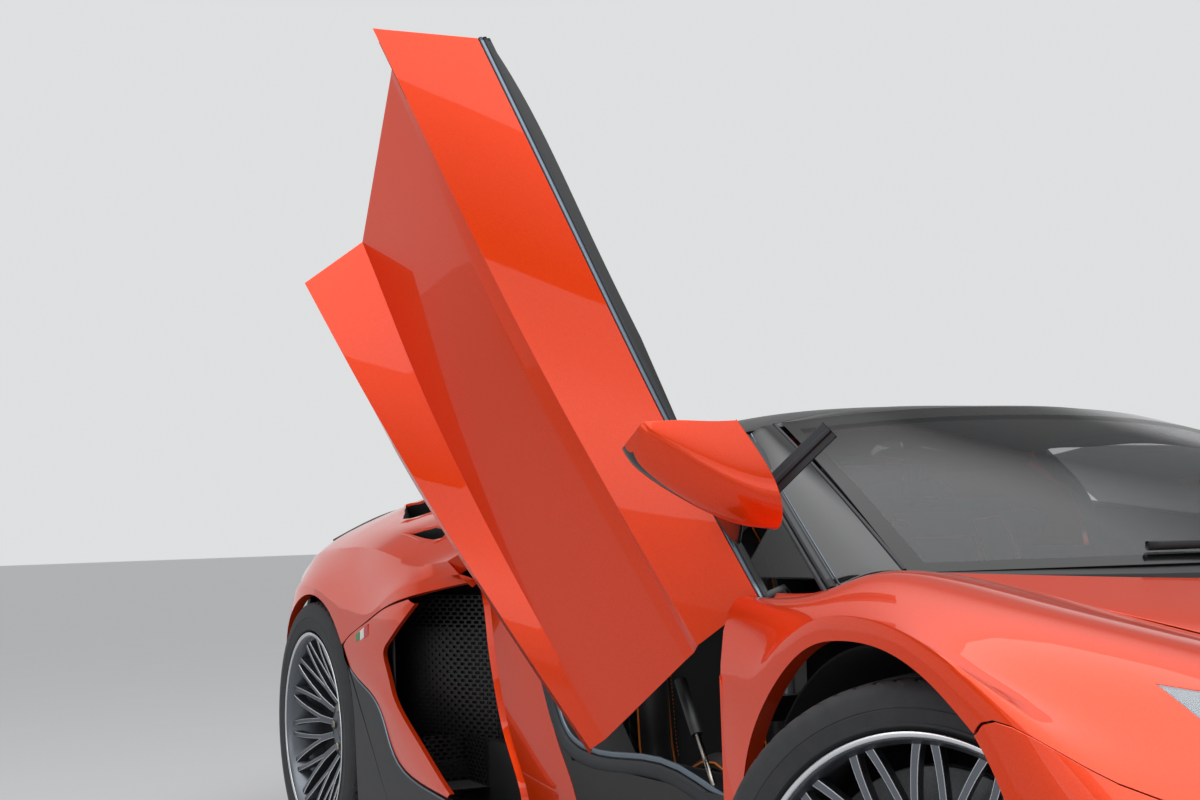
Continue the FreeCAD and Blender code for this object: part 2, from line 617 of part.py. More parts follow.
# Rails that carry the axles, the nose and the tail
FRONT_RAIL_X = (340.0, 420.0)
REAR_RAIL_X = (400.0, 460.0)
RAIL_LOW_Z = (170.0, 230.0)
RAIL_HIGH_Z = (430.0, 490.0)
NOSE_BEAM_Y = (-2130.0, -2060.0)
TAIL_BEAM_Y = (2120.0, 2170.0)
rails = []
for side in (1, -1):
    for low, high in (RAIL_LOW_Z, RAIL_HIGH_Z):
        rails.append(side_box(side, FRONT_RAIL_X, (NOSE_BEAM_Y[1], low), (TUB_FRONT, high)))
        tail = 1820 if low == RAIL_LOW_Z[0] else TAIL_BEAM_Y[0]
        rails.append(side_box(side, REAR_RAIL_X, (BULKHEAD_Y[1], low), (tail, high)))
rails.append(box((-560, NOSE_BEAM_Y[0], 230), (560, NOSE_BEAM_Y[1], 430)))
rails.append(box((-640, TAIL_BEAM_Y[0], 470), (640, TAIL_BEAM_Y[1], 560)))
FRONT_LINER_X = (FRONT_TRACK / 2 - 285, FRONT_TRACK / 2 + 85)
REAR_LINER_X = (REAR_TRACK / 2 - 235, REAR_TRACK / 2 + 110)
STRUTS = [
    # y, z outline; outer x, inner x; panel and its direction, or none
    ([(-1790, 445), (-1750, 445), (-1750, 475), (-1790, 475)], 500, 415, None, None),
    ([(-1790, 450), (-1750, 450), (-1750, 900), (-1790, 900)], 500, 470, "fender", (0, 0, 1)),
    ([(-2600, 300), (-2070, 300), (-2070, 340), (-2600, 340)], 240, 200, "nose", (0, -1, 0)),
    ([(-1370, 485), (-1330, 485), (-1330, 712), (-1370, 712)], 430, 400, None, None),
    ([(-1370, 692), (-1330, 692), (-1330, 712), (-1370, 712)], FRONT_LINER_X[0] - SEAT_FIT, 420, None, None),
    ([(1330, 485), (1370, 485), (1370, 740), (1330, 740)], 460, 430, None, None),
    ([(1330, 716), (1370, 716), (1370, 740), (1330, 740)], REAR_LINER_X[0] - SEAT_FIT, 450, None, None),
    ([(-1600, 440), (-1560, 440), (-1560, 470), (-1600, 470)], 345, 300 + SEAT_FIT, None, None),
    ([(1000, 195), (1060, 195), (1060, 225), (1000, 225)], 405, 350 + SEAT_FIT, None, None),
    ([(2010, 465), (2040, 465), (2040, 489), (2010, 489)], 530, 455, None, None),
    ([(2010, 465), (2040, 465), (2040, 1100), (2010, 1100)], 530, 500, "deck", (0, 0, 1)),
    ([(2125, 550), (2165, 550), (2165, 1100), (2125, 1100)], 600, 560, "wing", (0, 0, 1)),
    ([(2125, 510), (2165, 510), (2165, 550), (2125, 550)], 712, 630, None, None),
    ([(2125, 510), (2165, 510), (2165, 1100), (2125, 1100)], 712, 680, "quarter", (0, 0, 1)),
    ([(2160, 505), (2600, 505), (2600, 535), (2160, 535)], 280, 240, "fascia", (0, 1, 0)),
    ([(2130, 410), (2165, 410), (2165, 480), (2130, 480)], 540, 500, None, None),
    ([(2150, 410), (2600, 410), (2600, 440), (2150, 440)], 540, 500, "lower", (0, 1, 0)),
]
for side in (1, -1):
    panels = {"fender": fenders[side], "nose": nose, "deck": deck, "wing": wing, "quarter": quarters[side],
              "fascia": fascia, "lower": lower}
    for outline, x_out, x_in, name, toward in STRUTS:
        strut = slab(side, outline, x_out, x_in)
        if name:
            strut = cut_back(strut, panels[name], V(side * toward[0], toward[1], toward[2]))
        rails.append(strut)
rails = rails[0].fuse(rails[1:])
save("chassis_rails", rails)

# Luggage well under the front lid, open at the top
WELL_LOW, WELL_HIGH, WELL_WALL = (-300, -1850, 340), (300, -1290, 600), 6
well = box(WELL_LOW, WELL_HIGH).cut(box((WELL_LOW[0] + WELL_WALL, WELL_LOW[1] + WELL_WALL, WELL_LOW[2] + WELL_WALL),
                                        (WELL_HIGH[0] - WELL_WALL, WELL_HIGH[1] - WELL_WALL, WELL_HIGH[2] + 1)))
save("front_well", well)


# Arch liners: half rings over the tyres
def liner(side, axle_y, centre_z, radius, xs):
    """One arch liner, between two distances from the centre plane."""
    x_in, x_out = xs
    start = place(side * x_in, axle_y, centre_z)
    ring = Part.makeCylinder(radius, x_out - x_in, start, V(side, 0, 0))
    ring = ring.cut(Part.makeCylinder(radius - 4, x_out - x_in, start, V(side, 0, 0)))
    below = box((-1100, axle_y - radius - 1, centre_z - radius - 1), (1100, axle_y + radius + 1, centre_z))
    return ring.cut(below)


liners = both(lambda s: liner(s, FRONT_AXLE_Y, FRONT_ARCH_Z, FRONT_ARCH_R - 8, FRONT_LINER_X))
liners += both(lambda s: liner(s, REAR_AXLE_Y, REAR_ARCH_Z, REAR_ARCH_R - 8, REAR_LINER_X))
save("arch_liners", liners)

# Sills, floor and diffuser
SKIRT = [(852, -958), (976, -958), (1002, -150), (1006, 950), (852, 950)]
save("side_skirts", both(lambda s: prism_z(s, SKIRT, 0, 128, 205)))
undertray = [box((-520, -2396, 128), (520, TUB_FRONT, 136)), box((-640, BULKHEAD_Y[1], 128), (640, 1701.7, 136))]
DIFFUSER_FINS = [-560, -330, -110, 110, 330, 560]
diffuser = scaled(1, [[(-790, 1702, 128), (790, 1702, 128)], [(-790, 2190, 232), (790, 2190, 232)]],
                  lambda i, j: (0, 0, 10))
for x in DIFFUSER_FINS:
    diffuser = diffuser.fuse(slab(1, [(1760, 142), (2190, 234), (2190, 150)], x + 4, x - 4))
save("underfloor", undertray + [diffuser])


# Side intakes: inner wall and mesh of each duct
DUCT_MESH = [(782, 440), (792, 436), (956, 806), (942, 808)]


def duct(side):
    """One side duct: its inner wall, its end and the slanted mesh across it."""
    wall = side_box(side, (800, 812), (BULKHEAD_Y[1] + SEAT_FIT, 300), (812, 660))
    wall = wall.fuse(side_box(side, (800, 955), (800, 300), (812, 660)))
    return wall.fuse(prism_z(side, DUCT_MESH, 0, SILL_TOP + SEAT_FIT, 660))


save("grilles", grilles + both(duct))

# Engine with its gearbox, and the exhaust
engine = box((-350, 640, 190), (350, 1500, 820)).fuse(box((-170, 1500, 230), (170, 1900, 520)))
save("engine_block", engine.removeSplitter())
exhaust = box((-300, 1900, 350), (300, 2110, 520))
for x in (-58, 58):
    for z in (-24, 34):
        pipe = rod(place(x, 2110, EXHAUST_Z + z), place(x, 2316, EXHAUST_Z + z), 30)
        exhaust = exhaust.fuse(pipe)
save("exhaust", exhaust)

# Seats, dashboard and steering wheel (wheel on the right)
SEAT_X = (130, 620)
SEAT_SIDE = [(-250, 165.3), (-250, 300), (-215, 330), (130, 270), (190, 300), (330, 900), (370, 935), (440, 925),
             (425, 860), (250, 165.3)]
save("seats", both(lambda s: slab(s, SEAT_SIDE, SEAT_X[0], SEAT_X[1])))
DASH_SIDE = [(-929.7, 560), (-929.7, 700), (-860, 752), (-640, 716), (-600, 650), (-640, 540), (-800, 520)]
dash = slab(1, DASH_SIDE, 690, -690).fuse(box((-105, -660, 165.3), (105, 190, 400)))
dash = dash.fuse(slab(1, [(-660, 390), (-760, 560), (-620, 640), (-420, 390)], 105, -105))
save("dashboard", dash.removeSplitter())
WHEEL_CENTRE = place(-370, -500, 640)
WHEEL_AXIS = V(0, math.cos(math.radians(22)), math.sin(math.radians(22)))
wheel = Part.makeTorus(170, 16, WHEEL_CENTRE, WHEEL_AXIS)
hub = Part.makeCylinder(60, 40, WHEEL_CENTRE - WHEEL_AXIS * 30, WHEEL_AXIS)
column = Part.makeCylinder(30, 106, WHEEL_CENTRE - WHEEL_AXIS * 134, WHEEL_AXIS)
wheel = wheel.fuse([hub, column])
for angle in (0, 180, 270):
    a = math.radians(angle)
    out = V(1, 0, 0) * math.cos(a) + WHEEL_AXIS.cross(V(1, 0, 0)) * math.sin(a)
    end = WHEEL_CENTRE + out * 165
    wheel = wheel.fuse(bar(WHEEL_CENTRE + out * 40, end, 34, 14))
dash_cut = slab(1, DASH_SIDE, 690, -690)
save("steering_wheel", wheel.cut(dash_cut))


# Fixed glass: the triangle ahead of each door window, and the window behind the seats
def triangle(side):
    """One fixed corner window."""
    return panel(side, [[(846.3, -1058, 790.7), (852, -786, 790)], [(743.3, -757, 918.3), (743.5, -754, 918.5)]],
                 [(4, 0, 3), (4, 0, 3)])


rear_glass = box((-440, 575, 880.3), (440, 581, 1034))
save("fixed_windows", both(triangle) + [rear_glass])

# Wheels. Local frame: +x outwards from the wheel's centre, angles from straight up towards the tail.
def ring_profile(points):
    """A solid of revolution about the local x axis, from (x, r) points."""
    loop = [V(x, 0, r) for x, r in points]
    return Part.Face(Part.makePolygon(loop + [loop[0]])).revolve(V(0, 0, 0), V(1, 0, 0), 360)


def polar(x, radius, degrees):
    """A local point at an angle from straight up."""
    a = math.radians(degrees)
    return V(x, radius * math.sin(a), radius * math.cos(a))


def tyre(radius, width, rim):
    """A tyre with a flat tread and round shoulders."""
    bead, half = rim + SEAT_FIT, width / 2
    side = [(0.44 * width, bead), (half, bead + 0.35 * (radius - bead)), (half - 1, radius - 24), (half - 14, radius - 5),
            (half - 30, radius)]
    return ring_profile(side + [(-x, r) for x, r in reversed(side)])


SPIN_OFFSET = -2.8
PITCH = 360.0 / SPOKE_JUNCTIONS
DISC_X = (0.0, 30.0)
HUB_FLOOR_X = 44.0
HUB_BORE_R = 36.0
SPINDLE_R = 30.0


def rim(radius, width, face_x):
    """A rim with its V spokes, hub and brake disc."""
    half = width / 2
    barrel = ring_profile([(-half, radius), (-half, radius - 12), (half, radius - 12), (half, radius)])
    disc = ring_profile([(face_x, radius - 8), (72, 62), (50, 62), (face_x - 26, radius - 8)])
    windows = []
    for k in range(SPOKE_JUNCTIONS):
        at = SPIN_OFFSET + k * PITCH
        inside = [(0.955, 0), (0.65, 6.8), (0.545, 10.2), (0.33, 8.0), (0.29, 0), (0.33, -8.0), (0.545, -10.2), (0.65, -6.8)]
        outside = [(0.985, 8.6), (0.65, 2.2), (0.56, 0), (0.65, -2.2), (0.985, -8.6)]
        for outline, turn in ((inside, 0), (outside, PITCH / 2)):
            loop = [polar(0, r * (radius - 8), at + turn + a) for r, a in outline]
            windows.append(Part.Face(Part.makePolygon(loop + [loop[0]])).extrude(V(half + 20, 0, 0)))
    disc = disc.cut(windows)
    brake = ring_profile([(DISC_X[0], DISC_R), (DISC_X[0], HUB_BORE_R), (HUB_FLOOR_X, HUB_BORE_R), (HUB_FLOOR_X, 0), (73, 0), (73, 66), (46, 80),
                          (DISC_X[1], 80), (DISC_X[1], DISC_R)])
    return barrel.fuse([disc, brake])


def upright(radius):
    """The hub carrier with its spindle and brake caliper."""
    plate = block((-38, -60, -90), (-8, 60, 90)).fuse(block((-34, -14, -POST_Z), (-10, 14, POST_Z)))
    spindle = Part.makeCylinder(SPINDLE_R, HUB_FLOOR_X - SEAT_FIT + 10, V(-10, 0, 0), V(1, 0, 0))
    inner, outer = DISC_R + 8, radius - 22
    section = [(-38, 140), (-6, 140), (-6, inner), (36, inner), (36, 140), (58, 140), (58, outer), (-38, outer)]
    loop = [V(x, 0, r) for x, r in section]
    caliper = Part.Face(Part.makePolygon(loop + [loop[0]])).revolve(V(0, 0, 0), V(1, 0, 0), -56)
    caliper.rotate(V(0, 0, 0), V(1, 0, 0), -62)
    arm = block((-36, 50, -30), (-10, 150, 30))
    return plate.fuse([spindle, arm, caliper])


def at_wheel(shape, side, hub_x, axle_y, hub_z, steer):
    """A local wheel piece put in its place and turned with the steering."""
    placed = shape.mirror(V(0, 0, 0), V(1, 0, 0)) if side < 0 else shape.copy()
    placed.translate(place(side * hub_x, axle_y, hub_z))
    if steer:
        placed.rotate(place(side * KINGPIN_X, axle_y, hub_z), V(0, 0, 1), steer)
    return placed


WHEELS = [
    # name, side, axle y, track, tyre radius, tyre width, rim radius, spoke face x, steering at rest
    ("front_left", 1, FRONT_AXLE_Y, FRONT_TRACK, FRONT_TYRE_R, FRONT_TYRE_W, FRONT_RIM_R, 112, STEER_REST),
    ("front_right", -1, FRONT_AXLE_Y, FRONT_TRACK, FRONT_TYRE_R, FRONT_TYRE_W, FRONT_RIM_R, 112, STEER_REST),
    ("rear_left", 1, REAR_AXLE_Y, REAR_TRACK, REAR_TYRE_R, REAR_TYRE_W, REAR_RIM_R, 150, 0),
    ("rear_right", -1, REAR_AXLE_Y, REAR_TRACK, REAR_TYRE_R, REAR_TYRE_W, REAR_RIM_R, 150, 0),
]
POST_Z = 118.0
ARM_Z = POST_Z + SEAT_FIT
ARM_SPREAD = 160.0
BUSH_R = 14.0


def wishbone(side, axle_y, apex_x, base_x, z):
    """One wishbone: two arms from their bushes on the rail to the ball joint."""
    apex = place(side * apex_x, axle_y, z)
    whole = rod(apex - V(0, 0, 6), apex + V(0, 0, 6), 15)
    for turn in (1, -1):
        foot = place(side * (base_x + BUSH_R + SEAT_FIT), axle_y + turn * ARM_SPREAD, z)
        whole = whole.fuse(rod(foot - V(0, 25, 0), foot + V(0, 25, 0), BUSH_R))
        whole = whole.fuse(bar(foot, apex, 26, 12))
    return whole


front_arms, rear_arms = [], []
for name, side, axle_y, track, radius, width, rim_radius, face_x, steer in WHEELS:
    hub_x, hub_z = track / 2, radius
    spot = (side, hub_x, axle_y, hub_z, steer)
    save("tyre_" + name, at_wheel(tyre(radius, width, rim_radius), *spot))
    save("rim_" + name, at_wheel(rim(rim_radius, width - 20, face_x), *spot))
    carrier = at_wheel(upright(rim_radius), *spot)
    heights = (hub_z - ARM_Z - 6, hub_z + ARM_Z + 6)
    if steer:
        save("knuckle" + name[5:], carrier)
        front_arms += [wishbone(side, axle_y, KINGPIN_X, FRONT_RAIL_X[1], z) for z in heights]
    else:
        arms = [wishbone(side, axle_y, hub_x - 22, REAR_RAIL_X[1], z) for z in heights]
        posts = [rod(*[place(side * (hub_x - 22), axle_y, z) for z in heights], 10)]
        rear_arms.append(carrier.fuse(arms + posts))
save("front_suspension", front_arms)
save("rear_suspension", rear_arms)
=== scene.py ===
import math

import bpy
import numpy as np
from mathutils import Matrix


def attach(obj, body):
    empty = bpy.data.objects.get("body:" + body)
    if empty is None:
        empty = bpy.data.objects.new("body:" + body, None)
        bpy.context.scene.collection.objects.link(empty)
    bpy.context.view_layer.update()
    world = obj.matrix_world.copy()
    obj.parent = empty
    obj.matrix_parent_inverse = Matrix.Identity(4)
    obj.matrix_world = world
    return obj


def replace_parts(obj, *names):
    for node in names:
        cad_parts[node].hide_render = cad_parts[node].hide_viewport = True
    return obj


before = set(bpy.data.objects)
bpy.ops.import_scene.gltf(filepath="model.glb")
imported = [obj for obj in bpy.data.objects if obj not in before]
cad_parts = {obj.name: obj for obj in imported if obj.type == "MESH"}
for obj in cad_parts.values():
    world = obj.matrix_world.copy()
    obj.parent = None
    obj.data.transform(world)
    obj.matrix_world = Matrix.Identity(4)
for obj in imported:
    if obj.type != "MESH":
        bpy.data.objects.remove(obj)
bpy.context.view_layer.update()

# Two-seat mid-engined supercar, dressed over its frame.
# Tables are in millimetres: x outwards from the centre plane, y towards the tail, z up.
MM = 0.001
FRONT_AXLE_Y, REAR_AXLE_Y = -1350.0, 1350.0
FRONT_ARCH_R, REAR_ARCH_R = 378.0, 378.0
FRONT_ARCH_Z, REAR_ARCH_Z = 335.0, 352.0
HINGE_POINT = (900.0, -908.0, 750.0)
HINGE_AZIMUTH, HINGE_TILT, DOOR_OPEN = -4.4, 19.4, 62.2
KINGPIN_X = 838.0
STEER_REST = 35.0
SHUT_GAP = 4.0
SIDE = {1: "left", -1: "right"}


# Shapes on grids
def spline(knots, values, at):
    """Natural cubic curve: passes through each value at its knot, with no bend at both ends."""
    values = np.asarray(values, float)
    shape = values.shape[1:]
    values = values.reshape(len(knots), -1)
    step = np.diff(knots)
    bend = np.zeros_like(values)
    if len(knots) > 2:
        system = np.eye(len(knots))
        i = np.arange(1, len(knots) - 1)
        system[i, i - 1], system[i, i], system[i, i + 1] = step[:-1], 2 * (step[:-1] + step[1:]), step[1:]
        pull = np.zeros_like(values)
        pull[1:-1] = 6 * np.diff(np.diff(values, axis=0) / step[:, None], axis=0)
        bend = np.linalg.solve(system, pull)
    part = np.clip(np.searchsorted(knots, at, side="right") - 1, 0, len(knots) - 2)
    b = ((at - knots[part]) / step[part])[:, None]
    a = 1 - b
    out = a * values[part] + b * values[part + 1]
    out += ((a ** 3 - a) * bend[part] + (b ** 3 - b) * bend[part + 1]) * (step[part] ** 2)[:, None] / 6
    return out.reshape((len(at),) + shape)


def along(values, steps, creases=()):
    """Values along the first axis, made smooth by splines that stop at each crease; steps per interval."""
    values = np.asarray(values, float)
    span = np.linalg.norm(np.diff(values, axis=0), axis=-1)
    span = span.reshape(len(span), -1).mean(axis=1) + 1e-6
    knots = np.concatenate([[0], np.cumsum(span)])
    stops = [0, *sorted(creases), len(values) - 1]
    rows = []
    for first, last in zip(stops[:-1], stops[1:]):
        u = np.arange((last - first) * steps + 1) / steps
        k = knots[first:last + 1]
        at = np.interp(u, np.arange(last - first + 1), k)
        piece = spline(k, values[first:last + 1], at)
        rows.append(piece if last == len(values) - 1 else piece[:-1])
    return np.concatenate(rows)


def surface(table, row_steps, column_steps, row_creases=(), column_creases=()):
    """A smooth grid through a table of rows of points, with sharp lines at the creases."""
    grid = along(table, row_steps, row_creases)
    return np.swapaxes(along(np.swapaxes(grid, 0, 1), column_steps, column_creases), 0, 1)


def quads(rows, columns, close_rows=False, close_columns=False):
    """Corner numbers of the four-sided faces of a grid."""
    i = np.arange(rows if close_rows else rows - 1)[:, None]
    j = np.arange(columns if close_columns else columns - 1)[None, :]
    i2, j2 = (i + 1) % rows, (j + 1) % columns
    corners = [i * columns + j, i2 * columns + j, i2 * columns + j2, i * columns + j2]
    return np.stack(corners, axis=-1).reshape(-1, 4)


def sided(points, side):
    """Points put on the left (+1) or the right (-1) of the car."""
    return np.asarray(points, float) * (side, 1, 1)


def turned(points, centre, axis, degrees):
    """Points turned about an axis through a centre."""
    axis = np.asarray(axis, float) / np.linalg.norm(axis)
    a = math.radians(degrees)
    d = np.asarray(points, float) - centre
    out = d * math.cos(a) + np.cross(axis, d) * math.sin(a) + axis * (d @ axis)[..., None] * (1 - math.cos(a))
    return out + centre


def door_place(points, side):
    """Points of a shut door, put where the door stands: the left one shut, the right one up."""
    points = sided(points, side)
    if side > 0:
        return points
    azimuth, tilt = math.radians(HINGE_AZIMUTH), math.radians(HINGE_TILT)
    axis = (math.cos(azimuth) * math.cos(tilt), math.sin(azimuth) * math.cos(tilt), math.sin(tilt))
    return turned(points, np.array([-HINGE_POINT[0], HINGE_POINT[1], HINGE_POINT[2]]), axis, DOOR_OPEN)


def mesh_of(name, points, faces):
    """A mesh from points in mm and faces, both as lists or arrays."""
    points = np.asarray(points, float).reshape(-1, 3) * MM
    faces = faces.tolist() if hasattr(faces, "tolist") else faces
    mesh = bpy.data.meshes.new(name)
    mesh.from_pydata(points.tolist(), [], faces)
    return mesh


def make(name, points, faces, material, body, outward=None, smooth=True, faces_material=None):
    """An object from points in mm and faces; outward is a rough direction that its faces look to."""
    mesh = mesh_of(name, points, faces)
    mesh.update()
    if outward is not None:
        normals = np.zeros(len(mesh.polygons) * 3)
        mesh.polygons.foreach_get("normal", normals)
        areas = np.zeros(len(mesh.polygons))
        mesh.polygons.foreach_get("area", areas)
        if (normals.reshape(-1, 3) * areas[:, None]).sum(axis=0) @ np.asarray(outward, float) < 0:
            mesh.flip_normals()
    obj = bpy.data.objects.new(name, mesh)
    bpy.context.scene.collection.objects.link(obj)
    for m in material if isinstance(material, list) else [material]:
        mesh.materials.append(m)
    if faces_material is not None:
        mesh.polygons.foreach_set("material_index", np.asarray(faces_material, dtype=np.int32))
    mesh.polygons.foreach_set("use_smooth", np.full(len(mesh.polygons), smooth))
    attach(obj, body)
    return obj


def solidify(obj, thickness):
    """Gives a sheet its thickness, in mm, behind its faces."""
    solid = obj.modifiers.new("thickness", "SOLIDIFY")
    solid.thickness, solid.offset, solid.use_even_offset = thickness * MM, -1.0, False


def thicken(obj, thickness, edge=1.6, angle=30):
    """Gives a sheet its thickness and rounds its edges and creases, in mm."""
    solidify(obj, thickness)
    return round_edges(obj, edge, angle)


def round_edges(obj, edge=1.6, angle=30, segments=2, edge_material=-1):
    """Rounds the edges that are sharper than an angle, in mm; the rounding may have a material of its own."""
    bevel = obj.modifiers.new("edges", "BEVEL")
    bevel.material = edge_material
    bevel.width, bevel.segments = edge * MM, segments
    bevel.limit_method, bevel.angle_limit = "ANGLE", math.radians(angle)
    normals = obj.modifiers.new("normals", "WEIGHTED_NORMAL")
    normals.keep_sharp = False
    return obj


def skin(name, grid, material, body, outward, thickness=3.0, edge=1.6, angle=30, cuts=(), keep=(), faces=None):
    """A panel from a grid; cuts are closed shapes taken out of it, keep are shapes that it is cut down to."""
    grid = np.asarray(grid, float)
    obj = make(name, grid, quads(*grid.shape[:2]) if faces is None else faces, material, body, outward)
    solidify(obj, thickness)
    for shape in cuts:
        cut(obj, *shape, "DIFFERENCE")
    for shape in keep:
        cut(obj, *shape, "INTERSECT")
    return round_edges(obj, edge, angle)


def apply_modifiers(obj):
    """Applies an object's modifiers."""
    mesh = bpy.data.meshes.new_from_object(obj.evaluated_get(bpy.context.evaluated_depsgraph_get()))
    obj.modifiers.clear()
    obj.data = mesh


def cut(obj, points, faces, operation):
    """Takes a closed shape out of a solid object, or keeps what is inside it."""
    tool = bpy.data.objects.new("cutter", mesh_of("cutter", points, faces))
    bpy.context.scene.collection.objects.link(tool)
    outward_volume(tool)
    boolean = obj.modifiers.new("cut", "BOOLEAN")
    boolean.object, boolean.operation, boolean.solver = tool, operation, "EXACT"
    apply_modifiers(obj)
    bpy.data.objects.remove(tool)


def raised(grid, distance, outward):
    """A grid moved along its own normals, towards outward, in mm."""
    grid = np.asarray(grid, float)
    normal = np.cross(np.gradient(grid, axis=0), np.gradient(grid, axis=1))
    normal /= np.linalg.norm(normal, axis=-1, keepdims=True) + 1e-9
    return grid + normal * distance * (1 if (normal @ np.asarray(outward, float)).sum() > 0 else -1)


def border(grid):
    """The points round the edge of a grid, as one loop."""
    return np.concatenate([grid[0], grid[1:, -1], grid[-1, -2::-1], grid[-2:0:-1, 0]])


def closed(name, grid, material, body, smooth=True, materials_by_column=None):
    """A closed tube from rings of points, with a cap at both ends."""
    rows, columns = np.shape(grid)[:2]
    faces = quads(rows, columns, close_columns=True).tolist()
    faces += [list(range(columns))[::-1], [(rows - 1) * columns + j for j in range(columns)]]
    index = None
    if materials_by_column is not None:
        index = np.concatenate([np.tile(materials_by_column, rows - 1), [0, 0]])
    obj = make(name, grid, faces, material, body, None, smooth, index)
    outward_volume(obj)
    return obj


def outward_volume(obj):
    """Turns a closed mesh's faces outwards, judged by the sign of its volume."""
    mesh = obj.data
    mesh.calc_loop_triangles()
    corners = np.zeros(len(mesh.loop_triangles) * 3, dtype=np.int32)
    mesh.loop_triangles.foreach_get("vertices", corners)
    co = np.zeros(len(mesh.vertices) * 3)
    mesh.vertices.foreach_get("co", co)
    co = co.reshape(-1, 3)
    a, b, c = co[corners.reshape(-1, 3)].transpose(1, 0, 2)
    centre = co.mean(axis=0)
    if np.einsum("ij,ij->i", a - centre, np.cross(b - centre, c - centre)).sum() < 0:
        mesh.flip_normals()


def frames(path, up):
    """Two directions across a path at each of its points, the second one near up."""
    path = np.asarray(path, float)
    tangent = np.gradient(path, axis=0)
    tangent /= np.linalg.norm(tangent, axis=1)[:, None]
    up = np.broadcast_to(np.asarray(up, float), path.shape)
    aside = np.cross(tangent, up)
    aside /= np.linalg.norm(aside, axis=1)[:, None]
    return aside, np.cross(aside, tangent)


def sweep(name, path, profile, material, body, up=(0, 0, 1), scale=None, closed_path=False, put=None, at=(0, 0),
          smooth=True):
    """A profile of (aside, up) points, moved by at and carried along a path; scale shrinks it from place
    to place."""
    path, profile = np.asarray(path, float), np.asarray(profile, float) + at
    if closed_path:
        aside, over = (across[1:-1] for across in frames(np.concatenate([path[-1:], path, path[:1]]), up))
    else:
        aside, over = frames(path, up)
    size = np.ones(len(path)) if scale is None else np.asarray(scale, float)
    section = aside[:, None] * profile[None, :, :1] + over[:, None] * profile[None, :, 1:]
    rings = path[:, None] + section * size[:, None, None]
    if put is not None:
        rings = put(rings)
    if closed_path:
        obj = make(name, rings, quads(len(path), len(profile), True, True), material, body)
        outward_volume(obj)
        return obj
    return closed(name, rings, material, body, smooth)


def oval(width, height, count=16, power=2.0):
    """A closed outline between an ellipse (power 2) and a box (larger power)."""
    a = np.linspace(0, 2 * math.pi, count, endpoint=False)
    circle = np.stack([np.cos(a), np.sin(a)], -1)
    return np.sign(circle) * np.abs(circle) ** (2 / power) * (width, height) / 2


def lathe(profile, count, put):
    """Rings of a wheel-like shape: profile of (x, radius) turned about the local x axis, put in place."""
    x, radius = np.asarray(profile, float)[None].transpose(2, 0, 1)
    a = np.linspace(0, 2 * math.pi, count, endpoint=False)[:, None]
    return put(np.stack(np.broadcast_arrays(x, radius * np.sin(a), radius * np.cos(a)), -1))


def tipped(centre, axis, across):
    """A function that puts turned points at a centre, their own x along axis and their own z along across."""
    return lambda points: points @ np.array([axis, (1, 0, 0), across]) + centre


def ring(name, profile, count, put, mat, body, close=False):
    """A turned piece from a profile of (x, radius) points; a closed profile makes a closed ring."""
    obj = make(name, lathe(profile, count, put), quads(count, len(profile), True, close), mat, body)
    outward_volume(obj)
    return obj


def joined(name, parts, material, body, smooth=True):
    """One object from many closed pieces: parts is a list of (points, faces)."""
    points, faces, start = [], [], 0
    for p, f in parts:
        p = np.asarray(p, float).reshape(-1, 3)
        points.append(p)
        faces += [[start + k for k in face] for face in (f.tolist() if hasattr(f, "tolist") else f)]
        start += len(p)
    obj = make(name, np.concatenate(points), faces, material, body, smooth=smooth)
    outward_volume(obj)
    return obj


def prism(outline, low, high):
    """Points and faces of a plate: an outline of 3-D points moved by two offsets."""
    outline = np.asarray(outline, float)
    n = len(outline)
    points = np.concatenate([outline + low, outline + high])
    faces = [list(range(n))[::-1], [n + k for k in range(n)]]
    faces += [[k, (k + 1) % n, n + (k + 1) % n, n + k] for k in range(n)]
    return points, faces


def plate(name, outline, offset, mat, body, edge, angle=30, edge_material=-1):
    """A flat plate with rounded edges, from an outline of 3-D points to the same outline moved by an offset."""
    obj = make(name, *prism(outline, (0, 0, 0), offset), mat, body, smooth=False)
    outward_volume(obj)
    return round_edges(obj, edge, angle, 2, edge_material)


def perforated(name, corner, across, upward, columns, rows, mat, body, outward, thickness, fill=0.72):
    """A plate with rows of rounded holes, every other row moved by half a hole.

    Each cell is a ring of faces between its outline and its hole; fill is the hole's share of the cell.
    """
    corner, across, upward = (np.asarray(v, float) for v in (corner, across, upward))
    edge = np.array([(-.5, -.5), (-.25, -.5), (0, -.5), (.25, -.5), (.5, -.5), (.5, 0)])
    outline = np.concatenate([edge, -edge])
    hole = outline * fill
    hole[[0, 4, 6, 10]] *= 0.86
    i, j = np.meshgrid(np.arange(columns), np.arange(rows), indexing="ij")
    centre = np.stack([i + 0.5 + 0.5 * (j % 2), j + 0.5], axis=-1).reshape(-1, 1, 1, 2)
    cell = centre + np.stack([outline, hole])[None]
    cell[..., 0] = np.clip(cell[..., 0], 0, columns)
    points = corner + cell[..., :1] / columns * across + cell[..., 1:] / rows * upward
    k = np.arange(12)
    faces = np.stack([k, (k + 1) % 12, (k + 1) % 12 + 12, k + 12], axis=-1)
    faces = (np.arange(columns * rows)[:, None, None] * 24 + faces[None]).reshape(-1, 4)
    points = points.reshape(-1, 3)
    _, first, merged = np.unique(np.round(points, 2), axis=0, return_index=True, return_inverse=True)
    faces = merged.reshape(-1)[faces]
    faces = faces[[len(set(face)) == 4 for face in faces.tolist()]]
    solidify(make(name, points[first], faces, mat, body, outward, smooth=False), thickness)


